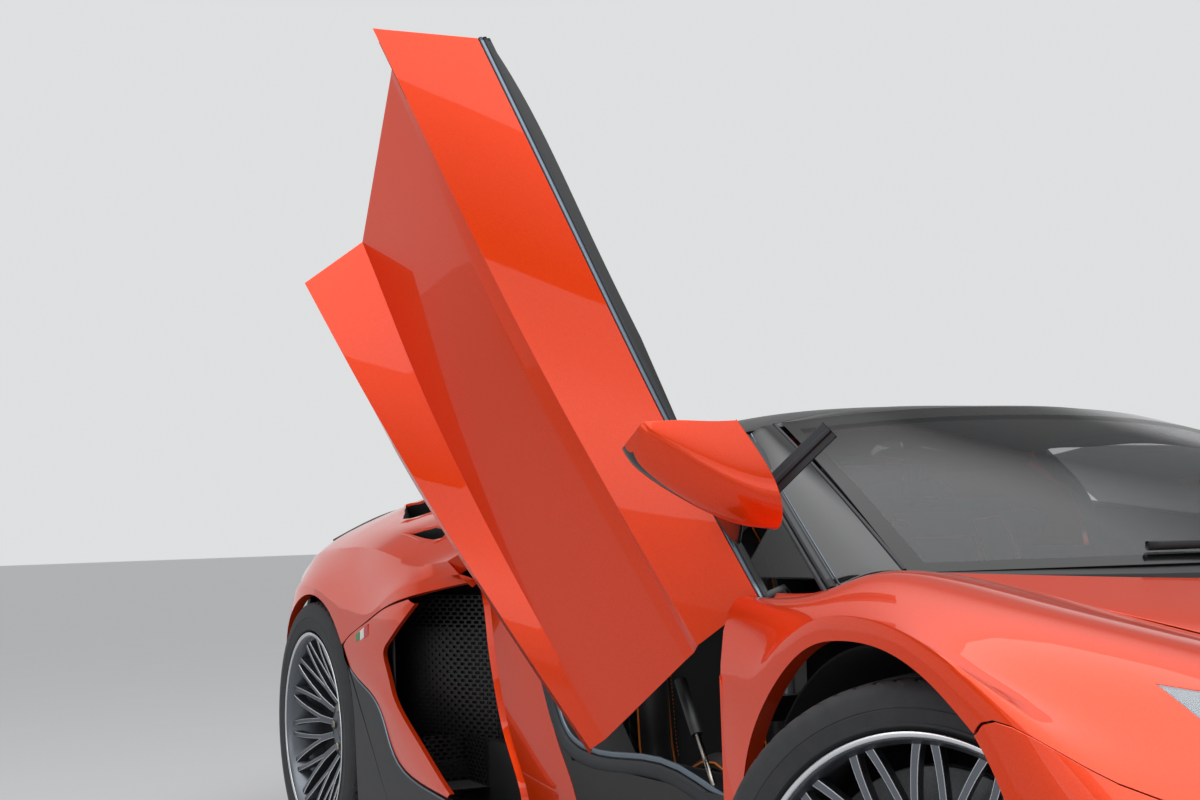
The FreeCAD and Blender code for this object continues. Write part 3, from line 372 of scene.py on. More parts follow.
# Colours and materials
def linear(code):
    """An sRGB hex colour as linear red, green, blue and alpha."""
    rgb = np.array([int(code[k:k + 2], 16) for k in (1, 3, 5)]) / 255
    return (*np.where(rgb <= 0.04045, rgb / 12.92, ((rgb + 0.055) / 1.055) ** 2.4), 1.0)


def add(tree, kind, settings=None, **links):
    """Adds a shader node; links name its inputs by label, or by number, and give a value or an output."""
    node = tree.nodes.new(kind)
    for key, value in (settings or {}).items():
        setattr(node, key, value)
    for key, value in links.items():
        socket = node.inputs[int(key[1:])] if key[0] == "_" else node.inputs[key.replace("_", " ")]
        if isinstance(value, bpy.types.NodeSocket):
            tree.links.new(value, socket)
        else:
            socket.default_value = value
    return node


def material(name, colour, roughness, metallic=0.0, **sockets):
    """A Principled material with sockets set on its shader. Returns the material, its tree and shader."""
    m = bpy.data.materials.new(name)
    m.use_nodes = True
    shader = m.node_tree.nodes["Principled BSDF"]
    shader.inputs["Base Color"].default_value = linear(colour)
    shader.inputs["Roughness"].default_value = roughness
    shader.inputs["Metallic"].default_value = metallic
    for key, value in sockets.items():
        shader.inputs[key.replace("_", " ")].default_value = value
    return m, m.node_tree, shader


def grain(tree, shader, size_mm, depth_mm, kind="ShaderNodeTexNoise", strength=0.5):
    """Fine relief of a given size and depth, from a texture on Object coordinates."""
    place = add(tree, "ShaderNodeTexCoord").outputs["Object"]
    height = add(tree, kind, Vector=place, Scale=1 / (size_mm * MM)).outputs[0]
    bump = add(tree, "ShaderNodeBump", Height=height, Strength=strength, Distance=depth_mm * MM)
    tree.links.new(bump.outputs["Normal"], shader.inputs["Normal"])


def blend(tree, socket, factor, low, high):
    """Gives a colour socket a blend of two sRGB hex colours by an output."""
    mix = add(tree, "ShaderNodeMix", {"data_type": "RGBA"}, Factor=factor, _6=linear(low), _7=linear(high))
    tree.links.new(mix.outputs[2], socket)


def mottle(tree, shader, socket, size_mm, low, high):
    """Varies a colour or a value of the shader softly over a given size."""
    place = add(tree, "ShaderNodeTexCoord").outputs["Object"]
    noise = add(tree, "ShaderNodeTexNoise", Vector=place, Scale=1 / (size_mm * MM), Detail=3.0)
    if isinstance(low, str):
        blend(tree, shader.inputs[socket], noise.outputs["Fac"], low, high)
    else:
        ramp = add(tree, "ShaderNodeMapRange", Value=noise.outputs["Fac"], To_Min=low, To_Max=high)
        tree.links.new(ramp.outputs["Result"], shader.inputs[socket])


# Metallic lacquer: coloured coat with flakes, coarser than real ones, under a thick mirror-smooth clear coat
FLAKE_MM = 1.1
paint, tree, shader = material("orange_metallic_lacquer", "#E63C06", 0.34, 0.45, Coat_Weight=0.8,
                               Coat_Roughness=0.02, Coat_IOR=1.45, Specular_IOR_Level=0.05)
place = add(tree, "ShaderNodeTexCoord").outputs["Object"]
flakes = add(tree, "ShaderNodeTexVoronoi", Vector=place, Scale=1 / (FLAKE_MM * MM))
blend(tree, shader.inputs["Base Color"], flakes.outputs["Color"], "#E03605", "#EC440A")

# Black lacquered panels: smooth and mirror-like
gloss_black, tree, shader = material("black_lacquer", "#08080A", 0.08, 0.0, Specular_IOR_Level=0.25,
                                     Coat_Weight=0.7, Coat_Roughness=0.02)
mottle(tree, shader, "Roughness", 40, 0.06, 0.10)

# Satin black lacquer of the roof and screen frame
satin_black, tree, shader = material("satin_black_lacquer", "#0A0A0C", 0.32, 0.0, Specular_IOR_Level=0.25)
mottle(tree, shader, "Roughness", 60, 0.3, 0.38)

# Moulded black plastic: fine leather-like grain, satin
plastic, tree, shader = material("moulded_black_plastic", "#17181A", 0.5)
grain(tree, shader, 1.2, 0.12, strength=0.4)
mottle(tree, shader, "Base Color", 30, "#141517", "#1D1E20")

# Rubber seal: matt grey-black extrusion
seal, tree, shader = material("rubber_seal", "#26292D", 0.62)
grain(tree, shader, 0.8, 0.08, strength=0.3)
mottle(tree, shader, "Base Color", 15, "#222529", "#2D3136")

# Anodised strip of the belt line: grey metal with a soft shine; the same grey metal also stands as a painted
# highlight on the rounded edge of the side fins
trim_grey_and_edge_highlight, tree, shader = material("anodised_trim_and_edge_highlight", "#6E7B87", 0.3, 0.9)
mottle(tree, shader, "Roughness", 25, 0.26, 0.36)

# Dark trim of guides and rails: satin black metal
trim_dark, tree, shader = material("satin_black_trim", "#303236", 0.38, 0.5)
mottle(tree, shader, "Roughness", 25, 0.33, 0.43)

# Woven laminate: a twill of fibre bundles under clear resin, with diagonal bands that catch the light
TWILL_PERIOD_MM = 50.0
laminate, tree, shader = material("woven_carbon_laminate", "#15161A", 0.35, 0.1, Coat_Weight=0.6,
                                  Coat_Roughness=0.12)
place = add(tree, "ShaderNodeTexCoord").outputs["Object"]
twill = add(tree, "ShaderNodeTexWave", {"bands_direction": "DIAGONAL"}, Vector=place,
            Scale=1 / (TWILL_PERIOD_MM * MM), Distortion=0.4)
blend(tree, shader.inputs["Base Color"], twill.outputs["Fac"], "#0F1012", "#25272B")

# Tyre rubber: matt, faintly dusty, with fine moulding grain
rubber, tree, shader = material("tyre_rubber", "#2B2C2E", 0.75)
grain(tree, shader, 1.5, 0.15, strength=0.35)
mottle(tree, shader, "Base Color", 25, "#262729", "#36373A")

# Forged alloy under a dark satin coat
rim_dark, tree, shader = material("forged_alloy_dark_coat", "#6A6E74", 0.34, 0.85)
mottle(tree, shader, "Roughness", 8, 0.28, 0.38)

# Bright alloy on the rounded edges of the spokes and on the lip: a painted highlight where these edges catch
# the light, brighter than the coated alloy
rim_edge_highlight, tree, shader = material("alloy_painted_edge_highlight", "#D2D4D7", 0.24, 1.0)
grain(tree, shader, 0.6, 0.02, strength=0.2)

# Ceramic brake disc: dull dark grey with fine flecks
disc_grey, tree, shader = material("ceramic_disc", "#5A5C5F", 0.45, 0.4)
mottle(tree, shader, "Base Color", 3, "#46484B", "#6D6F72")

# Painted steel and engine castings: dark, slightly rough
dark_metal, tree, shader = material("cast_engine_metal", "#3A3B3D", 0.55, 0.8)
grain(tree, shader, 2.0, 0.2, strength=0.4)

# Exhaust steel: bright, heated to a faint straw colour
steel, tree, shader = material("exhaust_steel", "#9A958E", 0.25, 1.0)
mottle(tree, shader, "Base Color", 20, "#8C8780", "#A8A29A")

# Fabric liner of the arches: matt black felt; the same matt black also stands as painted shade in the side
# intakes and inside the exhaust tips
felt_and_shade, tree, shader = material("arch_felt_and_painted_shade", "#0C0C0D", 0.95)
grain(tree, shader, 1.0, 0.3, strength=0.6)

# Moulded black net of the grilles: satin plastic, a little uneven in its shine
net_black, tree, shader = material("net_black_plastic", "#101113", 0.45)
mottle(tree, shader, "Roughness", 10, 0.38, 0.55)

# Black hide of the cabin: pores and a soft sheen
leather, tree, shader = material("black_leather", "#1B1B1D", 0.48, Sheen_Weight=0.08)
grain(tree, shader, 1.6, 0.25, "ShaderNodeTexVoronoi", strength=0.35)
mottle(tree, shader, "Base Color", 18, "#18181A", "#232326")

# Suede of the seat centres: matt nap that catches light at a flat angle
suede, tree, shader = material("black_suede", "#1E1F22", 0.9, Sheen_Weight=0.35, Sheen_Roughness=0.5)
grain(tree, shader, 0.7, 0.15, strength=0.5)

# Orange leather of the piping and stitches: the same pores, warmer and brighter than the lacquer
orange_leather, tree, shader = material("orange_leather", "#E87A18", 0.5)
grain(tree, shader, 1.6, 0.25, "ShaderNodeTexVoronoi", strength=0.3)
mottle(tree, shader, "Base Color", 12, "#E0701A", "#F0841C")


# Glass and lamps
def glass_material(name, colour, alpha):
    """A pane: smooth and tinted, with the cabin showing through by its alpha."""
    m, tree, shader = material(name, colour, 0.02, 0.0, Alpha=alpha, IOR=1.5, Coat_Weight=1.0,
                               Coat_Roughness=0.01)
    mottle(tree, shader, "Roughness", 200, 0.015, 0.03)
    return m


# Windscreen: laminated pane, lightly tinted, so that the dashboard shows
screen_glass = glass_material("laminated_windscreen_glass", "#14191C", 0.4)

# Side and corner windows: toughened panes of a darker tint
side_glass = glass_material("tinted_side_glass", "#0A0D0E", 0.6)

# Headlamp cover: clear polycarbonate, bluish at its edge, with the lamps showing through
lens, tree, shader = material("clear_polycarbonate_lens", "#DDE6EE", 0.03, 0.0, Alpha=0.28, Coat_Weight=1.0)
mottle(tree, shader, "Roughness", 60, 0.02, 0.05)

# Lamp bowls and projectors: bright coated plastic, brushed by uneven light
lamp_body, tree, shader = material("lamp_reflector", "#8E939A", 0.22, 1.0)
mottle(tree, shader, "Roughness", 12, 0.18, 0.3)

# Light guide of the headlamps: milky white rod with a faint glow
lamp_white, tree, shader = material("lamp_light_guide", "#F2F6FA", 0.2, Emission_Strength=0.25)
shader.inputs["Emission Color"].default_value = linear("#F2F6FA")
mottle(tree, shader, "Roughness", 8, 0.15, 0.3)

# Tail lamp cover: deep red polycarbonate under a glossy surface
red_lens, tree, shader = material("red_lamp_lens", "#8E0B0B", 0.08, Coat_Weight=1.0)
mottle(tree, shader, "Base Color", 10, "#7C0808", "#A51010")

# Light guides of the tail lamps: brighter red rods with a faint glow
red_guide, tree, shader = material("red_light_guide", "#E02018", 0.2, Emission_Strength=0.3)
shader.inputs["Emission Color"].default_value = linear("#FF2A1C")
mottle(tree, shader, "Roughness", 8, 0.15, 0.3)

# Baked print at the edge of the glass, and black instrument screens: dark, smooth, hardly mirroring; the same
# also stands as painted shade in the gap round the door handles
frit_and_gap_shade, tree, shader = material("glass_edge_print_and_gap_shade", "#060607", 0.2, Specular_IOR_Level=0.2, Coat_Weight=0.2,
                              Coat_Roughness=0.03)
mottle(tree, shader, "Roughness", 30, 0.1, 0.16)

# Mirror: silvered glass, sharp as water
mirror_glass, tree, shader = material("mirror_glass", "#C8CDD2", 0.02, 1.0)
mottle(tree, shader, "Roughness", 90, 0.01, 0.03)

# Enamel of the three stripes on the rear quarter: plain glossy colours, slightly uneven
green_enamel, tree, shader = material("green_enamel", "#1E8A46", 0.25)
mottle(tree, shader, "Base Color", 3, "#1A8040", "#22944C")
white_enamel, tree, shader = material("white_enamel", "#E8E8E4", 0.25)
mottle(tree, shader, "Base Color", 3, "#E0E0DC", "#F0F0EC")
red_enamel, tree, shader = material("red_enamel", "#C01818", 0.25)
mottle(tree, shader, "Base Color", 3, "#B01414", "#CC1E1E")


# Body panels. Tables as in the part: rows of (x outwards, y, z).
LID_ROWS = [
    [(0, -2340, 500), (90, -2338, 501), (172, -2330, 499)],
    [(0, -2080, 592), (160, -2060, 596), (300, -2020, 588)],
    [(0, -1780, 670), (240, -1770, 676), (450, -1750, 660)],
    [(0, -1560, 724), (310, -1530, 730), (600, -1460, 737)],
    [(0, -1362, 768), (390, -1318, 779), (736, -1172, 800)],
]
FENDER_ROWS = [
    # crest, shoulder, arch angle, arch x
    [(600, -2125, 505), (925, -1815, 555), 45, 990],
    [(680, -1900, 602), (950, -1680, 634), 62, 1000],
    [(770, -1690, 690), (975, -1540, 692), 78, 1003],
    [(840, -1450, 757), (985, -1390, 726), 95, 1003],
    [(868, -1190, 788), (985, -1200, 712), 118, 1000],
    [(896, -1080, 769), (985, -1040, 680), 145, 992],
    [(902, -925, 760), (980, -925, 655), 165, 985],
]
FENDER_REAR_SEAM = [(862, -1105, 776), (868, -925, 768)]
DOOR_ROWS = [
    # belt, shoulder line, groove, face top, face bottom, blade, lower edge
    [(900, -906, 765), (975, -908, 656), (962, -908, 622), (966, -908, 598),
     (962, -900, 290), (972, -896, 248), (952, -896, 212)],
    [(899, -600, 810), (990, -570, 702), (955, -570, 664), (962, -570, 622),
     (954, -560, 305), (995, -560, 258), (972, -560, 220)],
    [(870, -200, 860), (988, -150, 758), (930, -150, 712), (942, -150, 660),
     (926, -150, 330), (1008, -150, 276), (982, -150, 236)],
    [(840, 162, 904), (968, 273, 816), (900, 263, 757), (892, 256, 702),
     (886, 152, 360), (1004, 134, 292), (963, 130, 257)],
    [(833, 253, 915), (962, 379, 830), (892, 366, 768), (880, 358, 712),
     (876, 228, 368), (1002, 205, 296), (958, 200, 262)],
]
QUARTER_ROWS = [
    # deck edge, crest, upper crease, lower crease, lower edge; two numbers are x and an angle on the wheel arch
    [(635, 230, 1046), (823, 274, 918), (956, 402, 822), (930, 396, 790), (888, 388, 775)],
    [(655, 420, 1035), (845, 440, 916), (966, 560, 814), (984, 560, 774), (985, 556, 742)],
    [(648, 600, 1030), (866, 740, 911), (970, 740, 834), (1002, 742, 724), (1003, 740, 706)],
    [(630, 850, 1024), (876, 860, 908), (966, 880, 850), (1004, 872, 690), (1004, 862, 672)],
    [(622, 1000, 1020), (880, 1000, 907), (958, 1034, 857), (1004, 1010, 704), (1004, 1000, 634)],
    [(621, 1090, 1018), (879, 1090, 907), (957, 1100, 857), (1005, 1080, 713), (1006, 42)],
    [(620, 1170, 1014), (877, 1160, 906), (955, 1170, 856), (1006, 1170, 727), (1006, 60)],
    [(619, 1260, 1010), (872, 1255, 905), (952, 1260, 852), (1006, 1260, 744), (1006, 75)],
    [(619, 1350, 1004), (864, 1350, 901), (948, 1350, 847), (1004, 1350, 754), (1006, 90)],
    [(628, 1530, 980), (856, 1530, 886), (930, 1530, 836), (990, 1525, 745), (1004, 114)],
    [(640, 1700, 945), (852, 1700, 856), (905, 1695, 800), (955, 1690, 712), (994, 138)],
    [(648, 1870, 922), (812, 1870, 846), (868, 1860, 784), (915, 1840, 700), (976, 157)],
    [(655, 2050, 893), (762, 2050, 838), (818, 2050, 776), (852, 2050, 696), (890, 1960, 500)],
    [(650, 2252, 857), (716, 2248, 812), (764, 2243, 748), (792, 2236, 676), (822, 2200, 500)],
]


def arch_point(axle_y, radius, centre_z, degrees, x):
    """A point of a wheel arch; 0 degrees is ahead of the axle, 90 above it."""
    a = math.radians(degrees)
    return (x, axle_y - radius * math.cos(a), centre_z + radius * math.sin(a))


def full(rows):
    """Rows over the whole width from rows that start on the centre plane."""
    rows = np.asarray(rows, float)
    return np.concatenate([sided(rows[:, :0:-1], -1), rows], axis=1)


# the first row of the lid's grid is its front edge, which the nose follows
lid = surface(full(LID_ROWS), 8, 8)
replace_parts(skin("front_lid_skin", lid, paint, "front_lid", (0, -.3, 1), 2.0, 2.5), "front_lid")


HEADLAMP = [(786, -1736), (600, -1922), (430, -2165), (520, -2152), (690, -2030), (774, -1880)]
PROJECTORS = [(560, -2078), (640, -1978), (712, -1880)]
PROJECTOR_DEPTH = 34
PROJECTOR_PROFILE = [(-16, 0.1), (-16, 30), (6, 30), (9, 27), (5, 25), (10, 20), (14, 11), (15.5, 0.1)]
HEADLAMP_BOWL = [
    # share of the lamp's outline, depth under the fender's surface
    (1.0, 3), (0.99, 22), (0.93, 48), (0.55, 62), (0.1, 66),
]
HEADLAMP_GUIDES = [
    [(470, -2150), (590, -2085), (700, -1990), (815, -1862)],
    [(455, -2150), (560, -2010), (660, -1908), (785, -1790)],
]
GUIDE_DEPTH = 15
SILL_END = [(-925, 640), (-925, 205), (-962, 205), (-972, 335), (-985, 433), (-990, 470)]
PLATE_DEPTH = 20


def on_surface(grid, xy, lift):
    """Points over given x and y, put on a grid's surface and lifted, in mm.

    Height = sum(z / distance ** 2) / sum(1 / distance ** 2) over the four nearest grid points.
    """
    flat = np.asarray(grid, float).reshape(-1, 3)
    xy = np.asarray(xy, float)
    far = np.linalg.norm(flat[None, :, :2] - xy[:, None], axis=-1) + .1
    near = np.argsort(far, axis=1)[:, :4]
    weight = 1 / np.take_along_axis(far, near, axis=1) ** 2
    return np.column_stack([xy, (flat[near, 2] * weight).sum(axis=1) / weight.sum(axis=1) + lift])


def upright(outline, grow=0.0):
    """A tall prism over an outline of x and y, grown by some mm from its middle."""
    outline = np.asarray(outline, float)
    away = outline - outline.mean(axis=0)
    outline = outline + away / np.linalg.norm(away, axis=1)[:, None] * grow
    return prism(np.column_stack([outline, np.full(len(outline), 300.0)]), (0, 0, 0), (0, 0, 700))


def fender_grid():
    """The fender's surface: from the lid's edge over its crest and shoulder to the lip of the wheel arch."""
    seams = [row[2] for row in LID_ROWS] + FENDER_REAR_SEAM
    table = []
    for (crest, shoulder, angle, x), seam in zip(FENDER_ROWS, seams):
        gap = SHUT_GAP if seam not in FENDER_REAR_SEAM else 0
        table.append([(seam[0] + gap, *seam[1:]), crest, shoulder,
                      arch_point(FRONT_AXLE_Y, FRONT_ARCH_R + 22, FRONT_ARCH_Z, angle, x - 1),
                      arch_point(FRONT_AXLE_Y, FRONT_ARCH_R, FRONT_ARCH_Z, angle, x),
                      arch_point(FRONT_AXLE_Y, FRONT_ARCH_R + 2, FRONT_ARCH_Z, angle, x - 30)])
    return surface(table, 8, 6, column_creases=(4,))


def fender(side):
    """One front fender with its headlamp: a clear lens in its surface over a bowl with lamps and guides."""
    panel = sided(fender_grid(), side)
    outline = np.array(HEADLAMP) * (side, 1)
    outward = (side, -.3, 1)
    skin("front_fender_%s_skin" % SIDE[side], panel, paint, "body", outward, 2.0, 2.5, cuts=[upright(outline)])
    cover = skin("headlamp_%s_lens" % SIDE[side], panel, lens, "body", outward, 2.0, 0.8,
                 keep=[upright(outline, -2.0)])
    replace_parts(cover, "headlamps")
    edge = along(np.concatenate([outline, outline[:1]]), 6, range(1, 6))[:-1]
    middle = edge.mean(axis=0)
    rings = [on_surface(panel, middle + (edge - middle) * share, -depth) for share, depth in HEADLAMP_BOWL]
    bowl = make("headlamp_%s_bowl" % SIDE[side], rings, quads(5, len(edge), close_columns=True), lamp_body,
                "body", (0, 0, 1))
    thicken(bowl, 1.5, 0.8)
    for k, (x, y) in enumerate(PROJECTORS):
        put = tipped(on_surface(panel, [(side * x, y)], -PROJECTOR_DEPTH)[0], (0, -.8, .6), (0, .6, .8))
        ring("headlamp_%s_projector_%d" % (SIDE[side], k), PROJECTOR_PROFILE, 32, put, lamp_body, "body")
    for k, line in enumerate(HEADLAMP_GUIDES):
        path = along(on_surface(panel, np.array(line) * (side, 1), -GUIDE_DEPTH), 8)
        sweep("headlamp_%s_guide_%d" % (SIDE[side], k), path, oval(9, 7, 12, 3), lamp_white, "body")


for side in (1, -1):
    fender(side)
    loop = sided([(984, y, z) for y, z in SILL_END], side)
    sill_end = plate("front_sill_end_%s" % SIDE[side], loop, (-side * PLATE_DEPTH, 0, 0), paint, "body", 2)
    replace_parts(sill_end, "front_fender_" + SIDE[side])


DOOR_INNER_X = [
    [872, 885, 878, 870, 864, 864, 864],
    [856, 872, 866, 864, 864, 864, 864],
    [828, 866, 864, 864, 862, 862, 862],
    [802, 864, 862, 862, 860, 862, 862],
    [808, 946, 878, 866, 859, 862, 862],
]
# the card stands back from the skin's front and lower edges: by how much there, and over what length it fades
CARD_SETBACK = 150, 500
CARD_LIFT = 45, 160
# where the tub lies behind the card: from this y on, below this height, the card keeps outside this x
TUB_Y, TUB_TOP, TUB_X = 140, 822, 860
# rows and columns of the door's grids: the handle flap on the skin, the pad and the armrest on the card
HANDLE_CELLS = slice(29, 39), slice(7, 12)
PAD_CELLS = slice(7, 25), slice(8, 21)
ARMREST_CELLS = slice(11, 24), slice(9, 12)
DOOR_TRIMS = [
    # name, width, height, place aside of the belt and over it, roundness, material
    ("trim", 7.5, 9, -5.5, -1, 5, trim_grey_and_edge_highlight),
    ("seal", 10, 13, -15, -2.5, 3, seal),
    ("channel", 9, 12, -25.5, -7, 5, plastic),
]
WINDOW_GUIDE = [(876, -780, 786), (830, -765, 850), (734, -740, 968)]
GUIDE_SECTION = [(-17, -3), (17, -3), (17, 3), (6, 3), (4, 8), (-4, 8), (-6, 3), (-17, 3)]
DOOR_PULL = [(850, -420, 560), (818, -400, 575), (806, -300, 600), (806, -180, 625), (818, -80, 640),
             (850, -60, 636)]
MIRROR_STALK = [(893, -775, 793), (925, -772, 850), (962, -764, 900), (1005, -752, 922)]
MIRROR_ROWS = [
    # x, front y, rear y, low z, high z
    (958, -864, -690, 914, 1012), (1000, -842, -680, 909, 1012), (1075, -764, -656, 911, 1010),
    (1112, -706, -645, 918, 1006), (1127, -676, -641, 930, 999), (1131, -662, -644, 944, 988),
]
MIRROR_SECTION = [
    # share from front to rear, share of the height; the first and last stretches are black
    (1, .02), (.62, 0), (.34, .03), (.12, .14), (0, .36), (.07, .66), (.28, .90), (.6, .99), (1, 1), (1, .02),
]


def door(side):
    """One door: outer skin with handle and belt trims, the card that closes it inside, and padded parts."""
    body = "door_" + SIDE[side]
    put = lambda points: door_place(points, side)
    out, into = put([(1, 0, 0), (-1, 0, 0)]) - put([(0, 0, 0)])
    grid = surface(DOOR_ROWS, 10, 6, column_creases=(1, 2, 3, 4, 5))
    skin("door_%s_skin" % SIDE[side], put(grid), paint, body, out, 3.0, 3.0)
    inner = np.array(DOOR_ROWS, float)
    inner[:, :, 0] = np.array(DOOR_INNER_X) + 2
    back = surface(inner, 10, 6, column_creases=(1, 2, 3, 4, 5))
    for axis, first, (setback, fade) in ((1, back[:1, :, 1], CARD_SETBACK), (2, back[:, -1:, 2], CARD_LIFT)):
        back[:, :, axis] += setback * np.clip(1 - (back[:, :, axis] - first) / fade, 0, 1)
    back[:, :, 0] += np.interp(np.arange(back.shape[1]), [14, 22], [0, 12])
    by_tub = (back[:, :, 1] > TUB_Y) & (back[:, :, 2] < TUB_TOP)
    back[by_tub, 0] = np.maximum(back[by_tub, 0], TUB_X)
    rings = np.concatenate([grid - (3, 0, 0), back[:, ::-1]], axis=1)
    rings[0, :, 1] += 12
    rings[-1, :, 1] -= 6
    card = closed("door_%s_inner" % SIDE[side], put(rings), plastic, body)
    round_edges(card, 3, 35)
    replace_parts(card, "door_" + SIDE[side])
    # handle flap in the recess, raised a little; a dark rod round it is painted shade in the gap
    flap = raised(grid[HANDLE_CELLS], 2.0, (1, 0, 0))
    skin("door_handle_" + SIDE[side], put(flap), paint, body, out, 3.0, 1.0)
    sweep("door_handle_gap_" + SIDE[side], border(flap), oval(3.0, 3.0, 8), frit_and_gap_shade, body, (1, 0, 0), put=put,
          closed_path=True)
    for name, width, height, aside, over, power, mat in DOOR_TRIMS:
        sweep("door_%s_%s" % (name, SIDE[side]), grid[:, 0], oval(width, height, 16, power), mat, body, put=put,
              at=(aside, over))
    # window guide that stands on the belt ahead of the glass
    guide = along(WINDOW_GUIDE, 8)
    blade = sweep("door_guide_" + SIDE[side], guide, GUIDE_SECTION, trim_dark, body, (.72, 0, .69), put=put,
                  smooth=False)
    round_edges(blade, 1.2)
    # padded card with an armrest, a pull and orange piping
    pad = raised(back[PAD_CELLS], 1.0, (-1, 0, 0))
    cushion("door_pad_" + SIDE[side], put(pad), 16, leather, body, into)
    rest = raised(back[ARMREST_CELLS], 17, (-1, 0, 0))
    cushion("door_armrest_" + SIDE[side], put(rest), 34, suede, body, into)
    sweep("door_pull_" + SIDE[side], along(DOOR_PULL, 6), oval(24, 14, 16, 3), laminate, body, put=put)
    seam = border(raised(pad, 6, (-1, 0, 0)))
    sweep("door_piping_" + SIDE[side], seam, oval(3.2, 3.2, 8), orange_leather, body, (-1, 0, 0), put=put,
          closed_path=True)


def cushion(name, grid, depth, mat, body, outward, crown=0.3):
    """A stuffed pad over a grid of points: full in the middle and drawn in at its seam.

    Height = depth * (1 - (1 - min(3 s, 1) * min(3 t, 1)) ** 2) * (1 - crown + crown * s * t),
    with s = sin(pi u) along the rows and t = sin(pi v) along the columns.
    """
    rows, columns = grid.shape[:2]
    s = np.sin(np.pi * np.linspace(0, 1, rows))[:, None]
    t = np.sin(np.pi * np.linspace(0, 1, columns))[None, :]
    height = 1 - (1 - np.minimum(s * 3.0, 1) * np.minimum(t * 3.0, 1)) ** 2
    height = height * (1 - crown + crown * s * t)
    normal = raised(grid, 1, outward) - grid
    top = grid + normal * (height * depth)[..., None]
    low = grid - normal
    rings = np.concatenate([top, low[:, ::-1]], axis=1)
    obj = closed(name, rings, mat, body)
    fine = obj.modifiers.new("soft", "SUBSURF")
    fine.levels = fine.render_levels = 1


def mirror(side):
    """One door mirror: a painted shell with a black sill, the glass in its rear face and its stalk."""
    body = "door_" + SIDE[side]
    put = lambda points: door_place(points, side)
    share = np.array(MIRROR_SECTION)
    x, front, rear, low, high = np.array(MIRROR_ROWS, float).T[:, :, None]
    y = front + (rear - front) * share[:, 0]
    z = low + (high - low) * share[:, 1]
    shell = np.stack(np.broadcast_arrays(x, y, z), axis=-1)
    grid = surface(shell, 6, 6, (), (8,))
    column = np.arange(grid.shape[1] - 1)
    black = np.where((column < 20) | (column >= 48), 1, 0)
    obj = closed("mirror_%s_shell" % SIDE[side], put(grid[:, :-1]), [paint, gloss_black], body,
                 materials_by_column=black)
    round_edges(obj, 2.5, 30, 3)
    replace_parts(obj, "mirror_" + SIDE[side])
    u, v = np.meshgrid(np.linspace(0, 1, 13), np.linspace(0, 1, 9), indexing="ij")
    low, high = shell[:-2, 0], shell[:-2, 8]
    knots = np.linspace(0, 1, len(low))
    corner_low, corner_high = (spline(knots, edge, .04 + .9 * u[:, 0]) for edge in (low, high))
    face = corner_low[:, None] + (corner_high - corner_low)[:, None] * (.08 + .84 * v)[..., None] + (0, 2.5, 0)
    out = put([(0, 1, 0)]) - put([(0, 0, 0)])
    skin("mirror_%s_glass" % SIDE[side], put(face), mirror_glass, body, out[0], 2.0, 0.6)
    stalk = along(MIRROR_STALK, 6)
    taper = np.linspace(1.15, .95, len(stalk))
    sweep("mirror_%s_stalk" % SIDE[side], stalk, oval(18, 66, 20, 2.6), gloss_black, body, (0, 1, 0), taper,
          put=put)


for side in (1, -1):
    door(side)
    mirror(side)


# Nose
NOSE_ROWS = [
    # columns from the centre plane to the lip of the wheel arch, rows from the lid's front edge to the splitter
    [(0, -2348, 498), (90, -2346, 499), (178, -2338, 497), (602, -2133, 503), (927, -1823, 553),
     (987, -1658, 633), (990, -1625, 600)],
    [(0, -2432, 440), (90, -2431, 440), (180, -2424, 440), (610, -2226, 442), (932, -1895, 480),
     (988, -1712, 512), (992, -1680, 520)],
    [(0, -2426, 408), (90, -2425, 408), (182, -2418, 408), (612, -2216, 410), (934, -1893, 428),
     (987, -1742, 430), (991, -1716, 430)],
    [(0, -2404, 240), (90, -2403, 240), (190, -2398, 240), (640, -2232, 240), (945, -1915, 240),
     (984, -1746, 240), (988, -1716, 240)],
    [(0, -2440, 172), (100, -2440, 172), (230, -2433, 172), (690, -2270, 172), (965, -1945, 172),
     (986, -1752, 172), (990, -1722, 172)],
    [(0, -2440, 140), (100, -2440, 140), (230, -2433, 140), (690, -2270, 140), (965, -1945, 140),
     (986, -1752, 140), (990, -1722, 140)],
]
# rows and columns of the nose's grid, columns counted from the centre: intakes and splitter
INTAKE_TOP, INTAKE_FOOT = 8, 12
INTAKE_NEAR, INTAKE_FAR = 14, 22
SPLITTER_TOP, SPLITTER_FOOT = 16, 20
NOSE_SHUT_LINE = (2, -7, -2)
INTAKE_DEPTH, INTAKE_HEIGHT = 120, 160
VANES = [
    # share of the intake's lower edge at the vane's foot, and at its head
    (.08, .42), (.52, .86),
]


def tunnel(name, loop, offset, mat, body, thickness=2.5):
    """A sleeve that runs back from a closed loop of points, seen from inside."""
    rings = np.stack([loop, loop + np.asarray(offset, float)])
    obj = make(name, rings, quads(2, len(loop), close_columns=True), mat, body)
    outward_volume(obj)
    obj.data.flip_normals()
    thicken(obj, thickness, 0.8)


